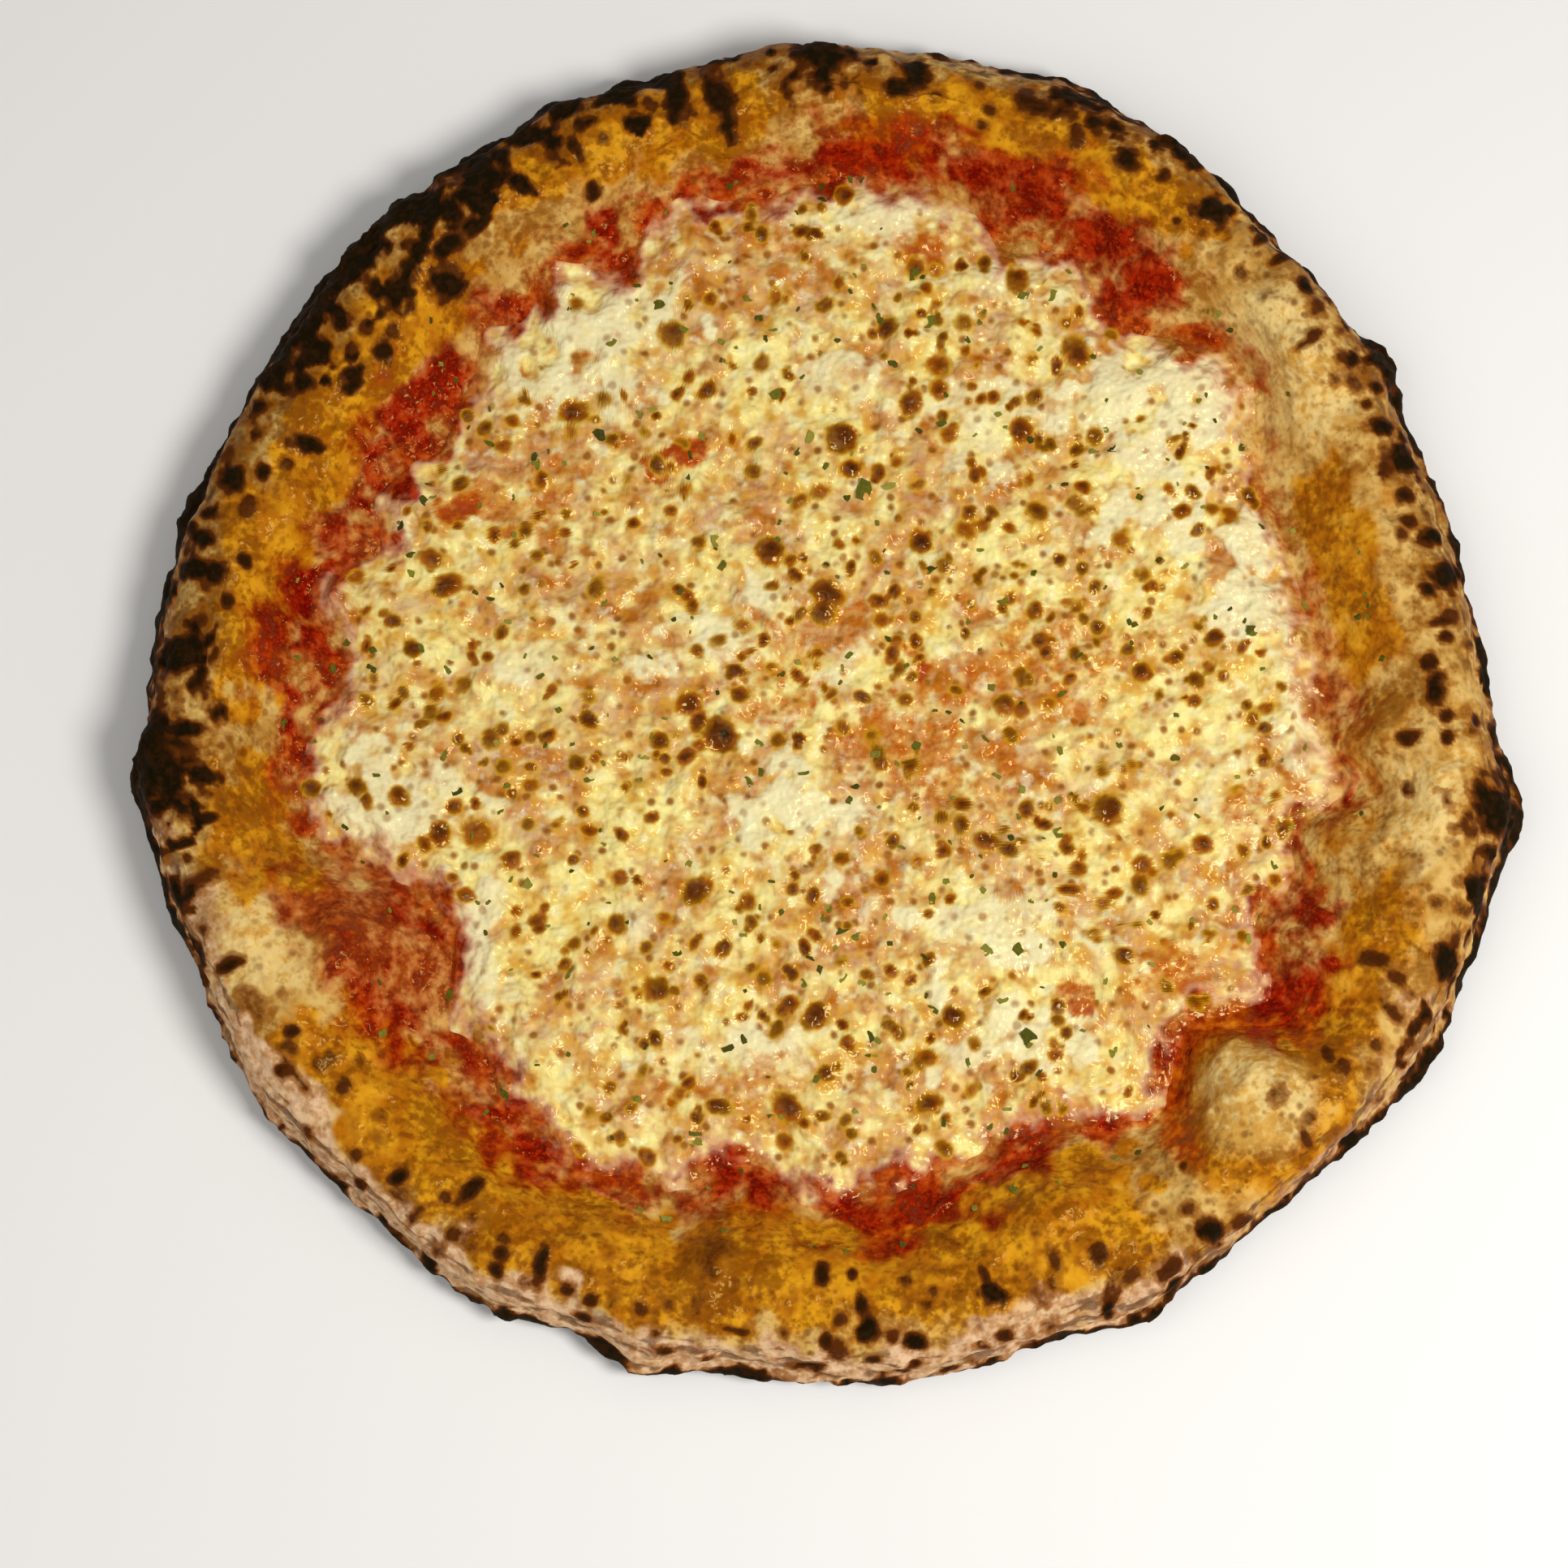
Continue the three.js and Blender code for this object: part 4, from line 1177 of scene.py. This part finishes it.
def makeHerbs():
    scatter = random.Random(herbs["seed"])
    whole = bmesh.new()
    hue = whole.verts.layers.float.new("hue")
    for x, y, length, turn in flakePlaces(scatter):
        # each lies on whatever is on top there
        above = Vector((x, y, dropHeight)) * mm
        hits = [tree.ray_cast(above, down) for tree in (crustTree, sauceTree, cheeseTree)]
        hits = [hit for hit in hits if hit[0] is not None]
        place, normal = max(hits, key=lambda hit: hit[0].z)[:2]
        leaf = flakeShape(scatter, length)
        leanX, leanY = [scatter.uniform(-herbs["lean"], herbs["lean"]) for axis in range(2)]
        leaning = normal + Vector((leanX, leanY, 0))
        facing = leaning.to_track_quat("Z", "Y").to_matrix()
        along = facing @ Vector((math.cos(turn), math.sin(turn), 0))
        out = leaning.normalized()
        across = out.cross(along).normalized()
        for vert in leaf.verts:
            local = vert.co.copy()
            vert.co = place + along * local.x + across * local.y + out * (local.z + herbs["lift"] * mm)
        mesh = bpy.data.meshes.new("flake")
        leaf.to_mesh(mesh)
        leaf.free()
        before = len(whole.verts)
        whole.from_mesh(mesh)
        bpy.data.meshes.remove(mesh)
        whole.verts.ensure_lookup_table()
        tone = scatter.random()
        for vert in whole.verts[before:]:
            vert[hue] = tone
    bmesh.ops.recalc_face_normals(whole, faces=whole.faces)
    return placePiece("herb_flakes", whole)


def herbFinish():
    finish = Finish("dried_herbs", 0.85, Specular_IOR_Level=0.15, Specular_Tint=(1, 0.9, 0.4, 1))
    fine = finish.noise(0.8, 2, 0.6)
    tone = finish.field("hue") * 0.8 + fine * 0.4 - 0.1
    colour = finish.ramp(tone, [
        (0.0, tint(58, 54, 20)), (0.35, tint(92, 90, 24)), (0.65, tint(128, 122, 38)),
        (1.0, tint(162, 152, 64)),
    ])
    return finish.finish(colour, None, finish.bump(fine, 0.2, 0.6))


herbPiece = makeHerbs()
giveFinish(herbPiece, herbFinish(), None)


studio = {
    # all in metres and watts
    "floor": 12.0,
    "gap": 0.0003,                 # between the floor and the pizza
    "key": (0.45, -0.25, 0.8),     # right of the pizza and a little in front
    "keySize": 0.35,
    "keyPower": 6.2,
    "fill": (-0.8, -0.3, 1.1),
    "fillSize": 1.2,
    "fillPower": 3.6,
    "sky": 0.25,
}


def makeStudio():
    shape = bmesh.new()
    bmesh.ops.create_grid(shape, x_segments=1, y_segments=1, size=studio["floor"] / 2)
    bmesh.ops.translate(shape, vec=(0, 0, -studio["gap"]), verts=shape.verts)
    floor = placePiece("floor", shape)
    finish = Finish("floor", 0.9, Specular_IOR_Level=0.2)
    floor.data.materials.append(finish.finish(tint(250, 247, 242)))
    for name in ("key", "fill"):
        light = bpy.data.objects.new(name, bpy.data.lights.new(name, "AREA"))
        light.data.shape = "DISK"
        light.data.size = studio[name + "Size"]
        light.data.energy = studio[name + "Power"]
        light.location = studio[name]
        light.rotation_euler = (-Vector(studio[name])).to_track_quat("-Z", "Y").to_euler()
        bpy.context.scene.collection.objects.link(light)
    world = bpy.data.worlds.new("studio")
    bpy.context.scene.world = world
    world.use_nodes = True
    world.node_tree.nodes["Background"].inputs["Strength"].default_value = studio["sky"]
    world.node_tree.nodes["Background"].inputs["Color"].default_value = (1, 1, 1, 1)
    bpy.context.scene.view_settings.view_transform = "Standard"


makeStudio()
